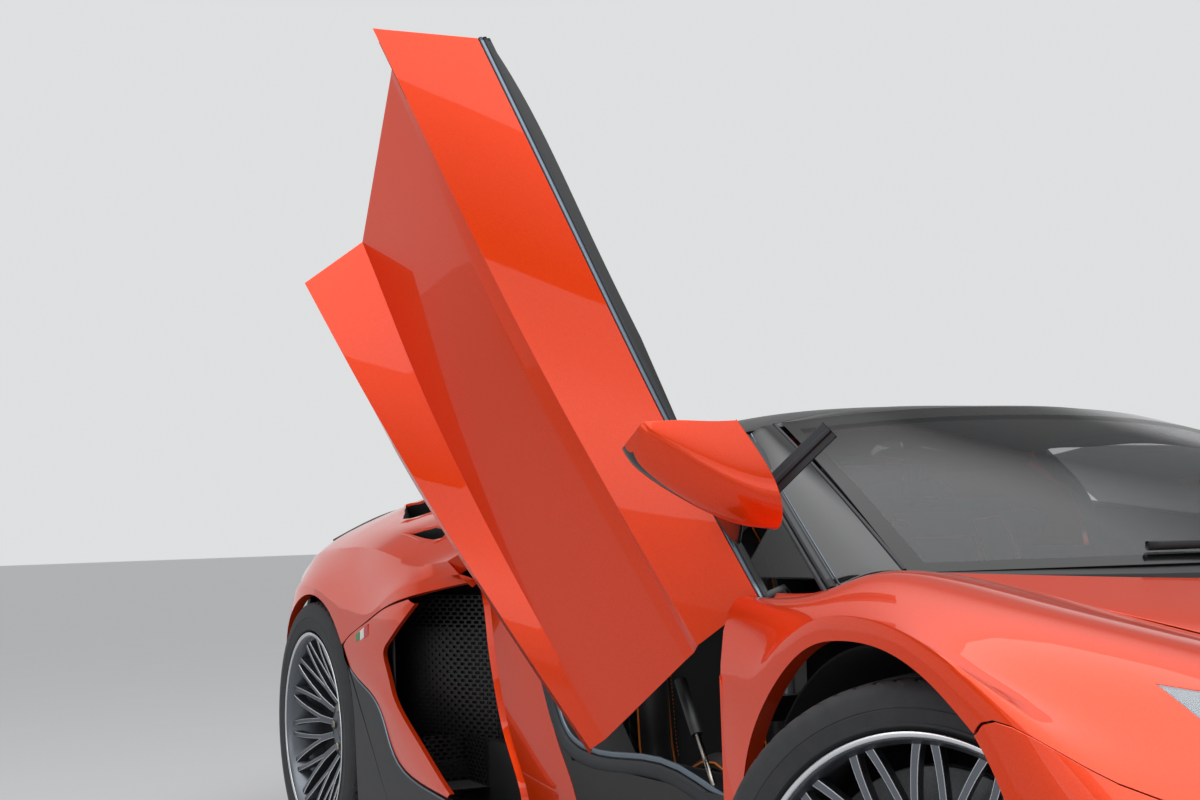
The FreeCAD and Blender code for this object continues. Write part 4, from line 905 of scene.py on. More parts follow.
def nose():
    """The front bumper with its two intakes, their meshes and vanes, and the splitter under it."""
    grid = surface(full(NOSE_ROWS), 4, 6, (1, 2, 3, 4), (4, 8))
    # the upper edge follows the lid's and the fenders' edge across a shut line, at the nose's own columns
    half = lid[0, 16:]
    at = np.linspace(0, 16, 13)
    half = np.stack([np.interp(at, np.arange(17), half[:, k]) for k in range(3)], axis=-1)
    half = np.concatenate([half, fender_grid()[0, 1:25]]) + NOSE_SHUT_LINE
    edge = np.concatenate([sided(half[:0:-1], -1), half])
    edge[len(half) - 1, 0] = 0
    grid[:5] += (edge - grid[0]) * np.linspace(1, 0, 5)[:, None, None]
    arch = FRONT_AXLE_Y - np.sqrt(FRONT_ARCH_R ** 2 - (grid[:, :1, 2] - FRONT_ARCH_Z) ** 2)
    grid[:, [0, -1], 1] = arch
    rows, columns = grid.shape[:2]
    centre = columns // 2
    i, j = np.divmod(np.arange((rows - 1) * (columns - 1)), columns - 1)
    aside = np.where(j >= centre, j - centre, centre - 1 - j)
    intakes = (i >= INTAKE_TOP) & (i < INTAKE_FOOT) & (aside >= INTAKE_NEAR) & (aside < INTAKE_FAR)
    faces = quads(rows, columns)[~intakes & (i < SPLITTER_TOP)]
    obj = skin("front_bumper_skin", grid, paint, "body", (0, -1, 0), 3.0, 2.5, faces=faces)
    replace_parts(obj, "front_bumper")
    foot = grid[SPLITTER_FOOT]
    top = grid[SPLITTER_TOP] + (0, -8, 0)
    lip = np.stack([top, foot + (0, -14, 0), foot + (0, -12, -6), foot + (0, 0, -6)])
    lip[3, :, 1] += np.interp(np.abs(np.arange(columns) - centre) / centre, [0, .7, 1], [130, 130, 10])
    skin("front_splitter", lip, laminate, "body", (0, -1, -.2), 6.0, 2.0)
    for side in (1, -1):
        columns = sorted((centre + side * INTAKE_NEAR, centre + side * INTAKE_FAR))
        hole = grid[INTAKE_TOP:INTAKE_FOOT + 1, columns[0]:columns[1] + 1]
        tunnel("nose_intake_" + SIDE[side], border(hole), (0, INTAKE_DEPTH, 0), plastic, "body")
        near, far = (hole[-1, 0], hole[-1, -1]) if side > 0 else (hole[-1, -1], hole[-1, 0])
        corner, across = near + (-side * 12, 70, -8), far - near + (side * 24, 10, 0)
        perforated("nose_mesh_" + SIDE[side], corner, across, (0, 6, 180), 22, 9, net_black, "body", (0, -1, 0),
                   3.0, 0.8)
        for k, (low, high) in enumerate(VANES):
            foot = near + (far - near) * low + (0, 26, 2)
            head = near + (far - near) * high + (0, 26, INTAKE_HEIGHT + 2)
            path = along([foot, (foot + head) / 2 + (side * 12, 0, 0), head], 8)
            sweep("nose_vane_%d_%s" % (k, SIDE[side]), path, oval(46, 11, 16, 3), gloss_black, "body",
                  (side, 0, -.5))


# Windscreen, its pillars and the roof
PILLAR_ROWS = [
    # outer edge, ridge, inner edge
    [(856, -1088, 778), (806, -1116, 801), (752, -1140, 803)],
    [(730, -720, 934), (688, -734, 957), (636, -742, 959)],
    [(592, -372, 1062), (556, -362, 1083), (512, -352, 1088)],
]
GLASS_ROWS = [
    [(0, -1284, 797), (396, -1258, 799), (750, -1142, 799)],
    [(0, -870, 974), (350, -850, 970), (640, -760, 962)],
    [(0, -436, 1119), (300, -424, 1110), (508, -368, 1091)],
]
COWL_ROWS = [
    [(0, -1357, 765), (390, -1313, 774), (744, -1161, 794)],
    [(0, -1352, 758), (390, -1306, 767), (745, -1157, 788)],
    [(0, -1318, 772), (392, -1282, 776), (748, -1149, 792)],
    [(0, -1314, 781), (392, -1279, 785), (748, -1147, 797)],
    [(0, -1276, 796), (396, -1250, 798), (752, -1138, 800)],
]
PILLAR_TRIMS = [
    # name, column of the pillar, width, height, place aside and over, material
    ("rail", 0, 16, 16, (2, -4), trim_dark),
    ("seal", 0, 7, 9, (14, -8), seal),
    ("bead", 0, 3, 4, (-8, 5), trim_grey_and_edge_highlight),
    ("inner_seal", -1, 7, 6, (3, 0), seal),
]
WIPER_ARM = [(60, -1322, 792), (66, -1180, 836), (70, -1020, 902), (72, -940, 940)]
WIPER_BLADE = [(-330, -1228, 828), (-120, -1250, 828), (120, -1250, 829), (330, -1226, 830)]
HEADER_ROWS = [
    [(0, -434, 1116), (300, -422, 1107), (520, -384, 1082)],
    [(0, -360, 1126), (300, -354, 1118), (540, -335, 1080)],
    [(0, -286, 1130), (300, -286, 1122), (556, -286, 1075)],
]
ROOF_ROWS = [
    [(4, -281, 1130), (300, -281, 1122), (558, -281, 1075)],
    [(4, -80, 1139), (310, -80, 1131), (572, -80, 1082)],
    [(4, 227, 1133), (320, 227, 1123), (594, 227, 1063)],
]
HOOP_ROWS = [
    [(0, 232, 1133), (320, 232, 1123), (600, 232, 1062), (635, 232, 1047)],
    [(0, 420, 1112), (330, 420, 1104), (610, 420, 1052), (655, 420, 1036)],
    [(0, 600, 1087), (340, 600, 1082), (600, 600, 1042), (648, 600, 1031)],
]


def windscreen():
    """The screen with its printed edge, the cowl, header and wiper, and the two pillars with their seals."""
    grid = surface(full(GLASS_ROWS), 12, 10)
    rows, columns = grid.shape[:2]
    i, j = np.divmod(np.arange((rows - 1) * (columns - 1)), columns - 1)
    printed = (i < 1) | (i >= rows - 3) | (j < 1) | (j >= columns - 2)
    glass = make("windscreen_pane", grid, quads(rows, columns), [screen_glass, frit_and_gap_shade], "body", (0, -.6, .8),
                 faces_material=printed.astype(int))
    thicken(glass, 5, 0.8)
    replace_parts(glass, "windscreen_glass")
    skin("windscreen_cowl", surface(full(COWL_ROWS), 2, 8, (1, 2, 3)), plastic, "body", (0, -.3, 1), 3, 1)
    header = skin("windscreen_header", surface(full(HEADER_ROWS), 6, 8), satin_black, "body", (0, 0, 1), 20, 2)
    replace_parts(header, "windscreen_frame")
    for side in (1, -1):
        post = surface(PILLAR_ROWS, 12, 6)
        skin("pillar_" + SIDE[side], sided(post, side), gloss_black, "body", (side, -.4, .8), 26, 3)
        for name, column, width, height, (aside, over), mat in PILLAR_TRIMS:
            path = sided(post[:, column], side)
            profile = oval(width, height, 12, 3.5)
            sweep("pillar_%s_%s" % (name, SIDE[side]), path, profile, mat, "body", at=(aside * side, over))
    sweep("wiper_arm", along(WIPER_ARM, 6), oval(16, 9, 12, 3), plastic, "body")
    sweep("wiper_blade", along(WIPER_BLADE, 8), oval(12, 16, 12, 3), plastic, "body")


def roof():
    """Two removable lacquered roof panels with a seam between them, and the painted hoop behind."""
    for side in (1, -1):
        grid = sided(surface(ROOF_ROWS, 8, 8), side)
        panel = skin("roof_panel_" + SIDE[side], grid, satin_black, "body", (0, 0, 1), 18, 3)
        sweep("roof_seal_" + SIDE[side], grid[:, -1], oval(12, 14, 12, 3), seal, "body", at=(4 * side, -9))
    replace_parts(panel, "roof_panels")
    skin("roof_hoop", surface(full(HOOP_ROWS), 8, 8), paint, "body", (0, 0, 1), 22, 3)


nose()
windscreen()
roof()


# Rear quarters with their deck slots and intakes
DECK_SLOTS = [
    [(846, 1012), (724, 1335), (686, 1255), (672, 920), (700, 770), (800, 810)],
    [(908, 828), (872, 700), (862, 560), (890, 530), (910, 620)],
]
SLOT_RIM = [
    # growth of the slot's outline, lift over the deck
    (22, -1), (19, 2.5), (2, 2.5), (0, -4),
]


def quarter(side):
    """One rear quarter from the deck's edge to the intake's frame and the wheel arch, with its deck slots."""
    low = []
    for *_, foot in QUARTER_ROWS:
        if len(foot) == 2:
            foot = arch_point(REAR_AXLE_Y, REAR_ARCH_R, REAR_ARCH_Z, foot[1], foot[0])
        low.append(foot)
    table = np.array([row[:4] for row in QUARTER_ROWS], float)
    low = np.array(low, float)[:, None]
    # a flange turns inwards along the door opening
    table = np.concatenate([table[:1] + (-36, 8, -30), table])
    low = np.concatenate([low[:1] + (-4, 8, -3), low])
    grid = along(table, 6, (1,))
    edge = along(low, 6, (1, 5, 6, 12, 13))
    grid = np.concatenate([grid, edge, edge - (28, 0, 0)], axis=1)
    grid = np.swapaxes(along(np.swapaxes(grid, 0, 1), 6, (2, 3, 4)), 0, 1)
    grid = sided(grid, side)
    slots = [along(np.array(slot + slot[:1]) * (side, 1), 5, range(1, len(slot)))[:-1] for slot in DECK_SLOTS]
    cuts = [upright(slot) for slot in slots]
    obj = skin("rear_quarter_%s_skin" % SIDE[side], grid, paint, "body", (side, 0, 1), 2.5, 2.5, cuts=cuts)
    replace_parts(obj, "rear_quarter_" + SIDE[side])
    for k, slot in enumerate(slots):
        ident = (k, SIDE[side])
        loop = on_surface(grid, slot, -1.5)
        away = slot - slot.mean(axis=0)
        away /= np.linalg.norm(away, axis=1)[:, None]
        levels = [on_surface(grid, slot + away * grow, lift) for grow, lift in SLOT_RIM]
        faces = quads(len(SLOT_RIM), len(slot), close_columns=True)
        thicken(make("deck_slot_rim_%d_%s" % ident, levels, faces, paint, "body", (0, 0, 1)), 2.5, 1.5)
        tunnel("deck_slot_wall_%d_%s" % ident, loop, (-side * 14, 0, -46), plastic, "body")
        face = [list(range(len(loop)))]
        bed = loop + (-side * 14, 0, -44)
        thicken(make("deck_slot_mesh_%d_%s" % ident, bed, face, net_black, "body", (0, 0, 1), False), 3, 0.5)


INTAKE_FRAME = [
    # outer edge, inner edge at the opening
    [(990, 585, 731), (983, 560, 720)],
    [(1003, 740, 702), (1001, 640, 662)],
    [(1004, 862, 668), (1003, 702, 628)],
    [(1004, 1000, 630), (1004, 738, 592)],
    [(1004, 1060, 596), (1004, 722, 565)],
    [(1003, 1019, 553), (1003, 704, 537)],
    [(1002, 859, 499), (1002, 668, 487)],
    [(1001, 734, 414), (1001, 520, 404)],
    [(1000, 608, 326), (1000, 369, 328)],
    [(1000, 322, 292), (1000, 309, 303)],
]
FIN_FOOT = [
    (306, 286), (306, 208), (700, 208), (962, 208), (970, 290),
    (973, 352), (982, 435), (998, 490), (1024, 545), (1058, 592),
]
JAMB_ROWS = [
    # y of: lip in the opening, lip, groove, second lip, panel, panel's front edge; then z
    (452, 440, 428, 412, 330, 222, 776),
    (426, 414, 402, 388, 310, 205, 728),
    (405, 393, 381, 368, 270, 150, 640),
    (372, 358, 346, 332, 230, 92, 530),
    (325, 311, 299, 284, 170, 34, 430),
    (264, 250, 238, 222, 110, -32, 350),
    (232, 218, 206, 190, 80, -60, 300),
    (220, 206, 194, 178, 65, -71, 268),
]
JAMB_X = (800, 866, 846, 860, 858, 853)
INTAKE_MESHES = [
    # name, lower corner, across, upward, columns, rows, outward, thickness
    ("", (812, 452, 296), (143, 356, 0), (0, 0, 440), 15, 44, (1, -.4, 0), 3.0),
    ("low_", (858, 436, 296), (0, 125, 0), (0, 0, 110), 5, 11, (1, 0, 0), 2.5),
    ("end_", (858, 560, 296), (110, 0, 0), (0, 0, 110), 5, 11, (0, -1, 0), 2.5),
]
INTAKE_WALL = [(800, 434), (800, 812), (958, 812), (985, 700)]
INTAKE_FLOOR_Z, INTAKE_ROOF_Z = 296, 760
STRIPES = [
    # upper front, upper rear, lower rear and lower front corner as (y, z)
    [(948, 634), (918, 643), (918, 624), (948, 615)],
    [(912, 645), (882, 654), (882, 630), (912, 621)],
    [(876, 656), (846, 665), (846, 636), (876, 627)],
]


def intake(side):
    """The side intake: painted frame, fin ahead of the wheel, pleated jamb, meshes, lining and stripes."""
    table = np.array(INTAKE_FRAME, float)
    inward = table[:, 1:] + (-13, 5, 0)
    middle = table.mean(axis=1, keepdims=True) + (2, 0, 0)
    grid = surface(np.concatenate([table[:, :1], middle, table[:, 1:], inward], axis=1), 5, 4, (), (2,))
    skin("intake_frame_" + SIDE[side], sided(grid, side), paint, "body", (side, 0, 0), 2.5, 2.0)
    edge = grid[22:-2, 0, 1:] + (-1.5, -3.5)
    outline = sided([(1005, y, z) for y, z in np.concatenate([edge, FIN_FOOT])], side)
    # the fin's rounded edge takes the grey trim metal: a painted highlight, the sky's reflection along that
    # edge
    plate("intake_fin_" + SIDE[side], outline, (-side * PLATE_DEPTH, 0, 0), [plastic, trim_grey_and_edge_highlight], "body", 3.5,
          25, 1)
    rows = np.array(JAMB_ROWS, float)
    table = np.stack([np.broadcast_to(JAMB_X, (len(rows), 6)), rows[:, :6], np.repeat(rows[:, 6:], 6, axis=1)],
                     axis=-1)
    edge = table[:, -1:] + (-60, -6, 0)
    grid = surface(np.concatenate([table, edge], axis=1), 6, 4, (), (1, 2, 3, 5))
    skin("jamb_panel_" + SIDE[side], sided(grid, side), paint, "body", (side, -.2, 0), 2.0, 3.0)
    for name, corner, across, upward, columns, rows, outward, thickness in INTAKE_MESHES:
        corner, across, outward = sided([corner, across, outward], side)
        perforated("intake_mesh_%s%s" % (name, SIDE[side]), corner, across, upward, columns, rows, net_black,
                   "body",
                   outward, thickness)
    # the duct's lining and floor in matt black felt: the duct's own black, darkened further as painted shade
    # inside the intake
    walls = [[(x, y, z) for x, y in INTAKE_WALL] for z in (INTAKE_FLOOR_Z, INTAKE_ROOF_Z)]
    skin("intake_lining_" + SIDE[side], sided(walls, side), felt_and_shade, "body", (side, 0, 0), 2.0, 2.0)
    floor_rows = [[(x, y, INTAKE_FLOOR_Z + rise) for x in (800, 985)] for y, rise in ((434, -2), (812, 4))]
    skin("intake_floor_" + SIDE[side], sided(floor_rows, side), felt_and_shade, "body", (0, 0, 1), 2.0, 1.0)
    for k, (corners, mat) in enumerate(zip(STRIPES, (green_enamel, white_enamel, red_enamel))):
        outline = sided([(1006.5, y, z) for y, z in corners], side)
        plate("stripe_%d_%s" % (k, SIDE[side]), outline, (-side * 2.5, 0, 0), mat, "body", 0.4)


for side in (1, -1):
    quarter(side)
    intake(side)


# Engine cover, deck, wing and tail
COVER_ROWS = [
    [(0, 612, 1086), (250, 612, 1082), (472, 612, 1064)],
    [(0, 1000, 1068), (250, 1000, 1064), (472, 1000, 1048)],
    [(0, 1350, 1046), (250, 1350, 1042), (472, 1350, 1028)],
    [(0, 1700, 1016), (250, 1700, 1012), (472, 1700, 1002)],
    [(0, 2083, 978), (250, 2083, 974), (472, 2083, 966)],
]
TAIL_DECK_ROWS = [
    [(0, 2089, 974), (250, 2089, 970), (474, 2089, 962), (655, 2056, 892)],
    [(0, 2200, 957), (250, 2196, 953), (470, 2184, 936), (652, 2150, 874)],
    [(0, 2326, 928), (250, 2320, 918), (450, 2308, 899), (648, 2252, 852)],
]
WING_ROWS = [
    [(0, 2104, 964), (400, 2100, 953), (640, 2090, 893)],
    [(0, 2240, 970), (400, 2232, 954), (640, 2196, 880)],
    [(0, 2362, 992), (400, 2348, 969), (640, 2296, 876)],
]
FASCIA_ROWS = [
    [(0, 2328, 925), (450, 2312, 898), (628, 2262, 846)],
    [(0, 2352, 830), (450, 2336, 822), (690, 2256, 790)],
    [(0, 2357, 710), (450, 2340, 706), (742, 2250, 700)],
    [(0, 2352, 500), (450, 2332, 500), (786, 2212, 500)],
]
TAIL_ROWS = [
    [(0, 2352, 496), (450, 2332, 496), (821, 2200, 492), (884, 1960, 492), (972, 1704, 492)],
    [(0, 2300, 350), (450, 2290, 350), (804, 2184, 350), (872, 1950, 350), (966, 1732, 350)],
    [(0, 2240, 250), (450, 2235, 250), (776, 2140, 235), (850, 1945, 215), (950, 1750, 208)],
]
# the tail seen from behind, as (x, z)
TAIL_LAMP = [(380, 800), (640, 792), (690, 740), (470, 735)]
TAIL_GRILLE = [(40, 700), (380, 700), (480, 640), (720, 640), (740, 540), (60, 540)]
OUTLET = [(-190, 345), (190, 345), (150, 465), (-150, 465)]
# light guides of a tail lamp: three arrows along it, each of three rods from its point; rods as (x, z) steps
ARROWS, ARROW_X, ARROW_PITCH, ARROW_Z = 3, 450, 72, 766
ARROW_RODS = [(30, 17), (30, -17), (-34, 0)]
EXHAUST_X, EXHAUST_Z = 58, (376, 434)
EXHAUST_TIP = [(2240, 33), (2334, 37), (2338, 36), (2338, 34), (2332, 32.5), (2322, 31), (2240, 31)]
# a matt black disc a little inside each exhaust tip: painted shade of the pipe's dark inside
EXHAUST_SHADE_DISC = [(2317, 30.6), (2318.5, 29), (2318.5, .1)]
# rows and columns of the cover's grid that are open: louvres of three rows each, from spine to frame
LOUVRES, LOUVRE_ROWS, LOUVRE_START = 8, 3, 3
SPINE_COLUMNS, FRAME_COLUMNS = 2, 10


def engine_cover():
    """The engine cover: a painted frame with a spine, and rows of lacquered louvres over a black bed."""
    grid = surface(full(COVER_ROWS), 8, 6)
    rows, columns = grid.shape[:2]
    centre = columns // 2
    i, j = np.divmod(np.arange((rows - 1) * (columns - 1)), columns - 1)
    aside = np.where(j >= centre, j - centre, centre - 1 - j)
    end = LOUVRE_START + LOUVRES * LOUVRE_ROWS
    opened = (i >= LOUVRE_START) & (i < end) & (aside >= SPINE_COLUMNS) & (aside < FRAME_COLUMNS)
    faces = quads(rows, columns)[~opened]
    cover = skin("engine_cover_skin", grid, paint, "engine_cover", (0, 0, 1), 16, 3, faces=faces)
    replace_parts(cover, "engine_cover")
    skin("engine_cover_bed", grid[LOUVRE_START:end + 1, 2:-2] - (0, 0, 17), net_black, "engine_cover",
         (0, 0, 1), 3, 1)
    for side in (1, -1):
        first, last = sorted((centre + side * SPINE_COLUMNS, centre + side * FRAME_COLUMNS))
        for k in range(LOUVRES):
            row = LOUVRE_START + LOUVRE_ROWS * k
            front, middle, later, back = grid[row:row + 4, first:last + 1]
            slat = np.stack([front - (0, -3, 13), (middle + later) / 2 - (0, 0, 1), back + (0, 4, 5)])
            skin("engine_louvre_%d_%s" % (k, SIDE[side]), slat, gloss_black, "engine_cover", (0, 0, 1), 4, 1.5)


def rear():
    """Deck, wing, tail fascia with lamps and meshes, and the lower bumper round the exhaust outlet."""
    cover_edge = np.array([row[2] for row in COVER_ROWS])
    edges = np.array([row[0] for row in QUARTER_ROWS[2:-1]], float)
    height = np.interp(edges[:, 1], cover_edge[:, 1], cover_edge[:, 2])
    inner = np.column_stack([np.full(len(edges), 480.0), edges[:, 1], height])
    for side in (1, -1):
        deck = surface(np.stack([inner, (inner + edges) / 2 + (0, 0, 6), edges], axis=1), 5, 5)
        strip = skin("rear_deck_" + SIDE[side], sided(deck, side), paint, "body", (0, 0, 1), 18, 3)
    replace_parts(strip, "rear_deck")
    skin("tail_deck", surface(full(TAIL_DECK_ROWS), 5, 6), gloss_black, "body", (0, 0, 1), 4, 2)
    wing = surface(full(WING_ROWS), 8, 8)
    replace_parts(skin("rear_wing_skin", wing, paint, "body", (0, 0, 1), 11, 4), "rear_wing")
    sweep("rear_wing_lip", wing[-1] + (0, 1, -3), oval(10, 13, 12, 3), gloss_black, "body")
    fascia = surface(full(FASCIA_ROWS), 8, 8)
    shapes = {}
    for side in (1, -1):
        for name, outline in (("lamp", TAIL_LAMP), ("mesh", TAIL_GRILLE)):
            outline = np.array(outline, float) * (side, 1)
            outline = along(np.concatenate([outline, outline[:1]]), 3, range(1, len(outline)))[:-1]
            loop = np.column_stack([outline[:, 0], np.full(len(outline), 2000.0), outline[:, 1]])
            shapes[name, side] = prism(loop, (0, 0, 0), (0, 500, 0))
    panel = skin("tail_fascia", fascia, gloss_black, "body", (0, 1, 0), 14, 2.5, cuts=list(shapes.values()))
    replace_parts(panel, "rear_bumper")
    for side in (1, -1):
        glass = skin("tail_lamp_" + SIDE[side], fascia - (0, 3, 0), red_lens, "body", (0, 1, 0), 10, 1.2,
                     keep=[shapes["lamp", side]])
        for k in range(ARROWS):
            run = ARROW_PITCH * k
            x, y, z = ARROW_X + run, 2334 - 0.22 * run - 0.0011 * run ** 2, ARROW_Z
            for n, (dx, dz) in enumerate(ARROW_RODS):
                path = np.array([(side * x, y, z), (side * (x + dx), y - .3 * dx, z + dz)])
                path = along([path[0], path.mean(axis=0), path[1]], 3)
                sweep("tail_lamp_guide_%d_%d_%s" % (k, n, SIDE[side]), path, oval(7, 7, 8), red_guide, "body")
        perforated("tail_mesh_" + SIDE[side], (side * 30, 2338, 532), (side * 716, -92, 0), (0, -4, 176), 30, 9,
                   net_black, "body", (0, 1, 0), 3.0, 0.8)
    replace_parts(glass, "tail_lamps")
    grid = surface(full(TAIL_ROWS), 6, 8)
    reach = np.sqrt(REAR_ARCH_R ** 2 - (grid[:, :1, 2] - REAR_ARCH_Z) ** 2)
    grid[:, [0, -1], 1] = REAR_AXLE_Y + reach
    loop = np.array([(x, 2000, z) for x, z in OUTLET], float)
    skin("tail_lower", grid, paint, "body", (0, 1, 0), 3, 3, cuts=[prism(loop, (0, 0, 0), (0, 500, 0))])
    outlet = along([(x, 2318 if z > 400 else 2314, z) for x, z in OUTLET + OUTLET[:1]], 6, (1, 2, 3))[:-1]
    tunnel("exhaust_surround", outlet, (0, -110, 0), laminate, "body", 4)
    for x in (-EXHAUST_X, EXHAUST_X):
        for z in EXHAUST_Z:
            put = tipped((x, 0, z), (0, 1, 0), (0, 0, 1))
            ident = (x + EXHAUST_X, z)
            ring("exhaust_tip_%d_%d" % ident, EXHAUST_TIP, 48, put, steel, "body", True)
            # a matt black disc closes each pipe a little inside its tip: painted shade
            shade_disc = lathe(EXHAUST_SHADE_DISC, 48, put)
            cap = make("exhaust_shade_disc_%d_%d" % ident, shade_disc, quads(48, len(EXHAUST_SHADE_DISC), True), felt_and_shade, "body",
                       (0, 1, 0))
            thicken(cap, 1, 0)


engine_cover()
rear()


# Cabin
SEAT_LINE = [
    # y, z on the seat's middle line, from the front edge over the seat and the back to the head pad
    (-252, 306), (-225, 326), (-60, 300), (110, 280), (176, 312), (222, 470), (300, 760), (345, 900),
    (392, 938),
]
SEAT_X = 375
SEAT_LIFT = [62, 40, 10, 0, 0, 0, 10, 40, 62]
SEAT_PADS = [
    # name, rows and columns of the seat's grid, depth, material
    ("base", (2, 14), (8, 25), 34, suede),
    ("back", (16, 27), (8, 25), 30, suede),
    ("head", (28, 32), (8, 25), 30, leather),
    ("base_outer", (1, 14), (25, 32), 42, leather),
    ("base_inner", (1, 14), (1, 8), 42, leather),
    ("back_outer", (15, 28), (25, 32), 46, leather),
    ("back_inner", (15, 28), (1, 8), 46, leather),
]
SEAT_STITCHES = [
    # name, rows and column of the seat's grid
    ("base", (3, 13), 8), ("base", (3, 13), 24), ("back", (17, 26), 8), ("back", (17, 26), 24),
]
SEAT_RAILS_X = (210, 540)
DASH_LINE = [
    # y, z from the foot of the screen over the hood and down the face
    (-926, 640), (-926, 706), (-868, 760), (-760, 752), (-650, 726),
    (-600, 690), (-592, 650), (-612, 600), (-650, 545), (-800, 522),
]
DASH_HALF = 688
APERTURE = [
    (822, -908, 690), (834, -906, 470), (836, -872, 408), (836, -500, 408), (836, -80, 408), (836, 20, 440),
    (836, 96, 540), (832, 176, 690), (806, 222, 800), (772, 222, 905), (700, 222, 990), (612, 200, 1052),
    (574, 0, 1066), (560, -250, 1062), (590, -380, 1044), (720, -700, 925), (806, -1050, 766),
]
DOOR_STRUT = [(800, -437, 589), (800, -500, 490), (800, -562, 393)]
VENT_X = (-600, -140, 140, 600)
VENT_Y, VENT_Z = -598, 690
VENT_RINGS = [
    # y, half height times 1.25
    (-600, 40), (-590, 46), (-584, 44), (-584, 36), (-640, 33),
]
KEY_PROFILE = [(0, .1), (0, 9), (9, 8.4), (11, 7), (11, .1)]


def seat(side):
    """One bucket seat: a laminate shell with centre pads, bolsters, a head pad, orange piping and rows of
    stitches."""
    line = along(np.array(SEAT_LINE, float), 4)
    lift = np.interp(np.linspace(0, 8, 33), np.arange(9), SEAT_LIFT)
    width = np.interp(np.arange(len(line)), [0, 12, 20, 26, 32], [235, 232, 228, 190, 120])
    tangent = np.gradient(line, axis=0)
    tangent /= np.linalg.norm(tangent, axis=1)[:, None]
    normal = np.column_stack([-tangent[:, 1], tangent[:, 0]])
    fade = np.interp(np.arange(len(line)), [0, 6, 14, 24, 32], [.7, 1, .6, 1, .2])
    grid = np.empty((len(line), 33, 3))
    grid[..., 0] = SEAT_X + width[:, None] * np.linspace(-1, 1, 33)
    grid[..., 1:] = line[:, None] + normal[:, None] * (lift * fade[:, None])[..., None]
    grid = sided(grid, side)
    up = (0, -.5, .8)
    skin("seat_shell_" + SIDE[side], raised(grid, -16, up), laminate, "body", up, 9, 3)
    for name, rows, columns, depth, mat in SEAT_PADS:
        patch = raised(grid[slice(*rows), slice(*columns)], -8, up)
        cushion("seat_%s_%s" % (name, SIDE[side]), patch, depth, mat, "body", up)
        seam = border(raised(patch, 7, up))
        sweep("seat_%s_piping_%s" % (name, SIDE[side]), seam, oval(5, 5, 8), orange_leather, "body", up,
              closed_path=True)
    for name, rows, column in SEAT_STITCHES:
        line = raised(grid, 15, up)[slice(*rows), column]
        stitches("seat_%s_stitch_%d_%s" % (name, column, SIDE[side]), line, 9, 2.2, orange_leather, "body")
    bars = []
    for x in SEAT_RAILS_X:
        foot = sided([(x - 12, -200, 168), (x + 12, -200, 168), (x + 12, 260, 168), (x - 12, 260, 168)], side)
        bars.append(prism(foot, (0, 0, 0), (0, 0, 60)))
    round_edges(joined("seat_rails_" + SIDE[side], bars, dark_metal, "body", smooth=False), 2)


def stitches(name, path, pitch, size, mat, body):
    """Single stitches laid along a path, each a short rod that is thickest in its middle, in mm."""
    path = np.asarray(path, float)
    run = np.concatenate([[0], np.cumsum(np.linalg.norm(np.diff(path, axis=0), axis=1))])
    at = np.arange(pitch, run[-1] - pitch, pitch)
    at = np.stack([at - pitch * .3, at, at + pitch * .3], axis=-1)
    points = np.stack([np.interp(at, run, path[:, k]) for k in range(3)], axis=-1)
    along_it = points[:, 2] - points[:, 0]
    side_a = np.cross(along_it, (.3, .2, 1.0))
    side_a /= np.linalg.norm(side_a, axis=-1)[:, None]
    side_b = np.cross(side_a, along_it)
    side_b /= np.linalg.norm(side_b, axis=-1)[:, None]
    turn = np.linspace(0, 2 * math.pi, 6, endpoint=False)
    circle = side_a[:, None, None] * np.cos(turn)[:, None] + side_b[:, None, None] * np.sin(turn)[:, None]
    rings = points[:, :, None] + circle * size / 2 * np.array([.4, 1, .4])[:, None, None]
    starts = np.arange(len(points)) * 18
    faces = (starts[:, None, None] + quads(3, 6, close_columns=True)[None]).reshape(-1, 4).tolist()
    faces += [[k + 5 - j for j in range(6)] for k in starts.tolist()]
    faces += [[k + 12 + j for j in range(6)] for k in starts.tolist()]
    outward_volume(make(name, rings, faces, mat, body))


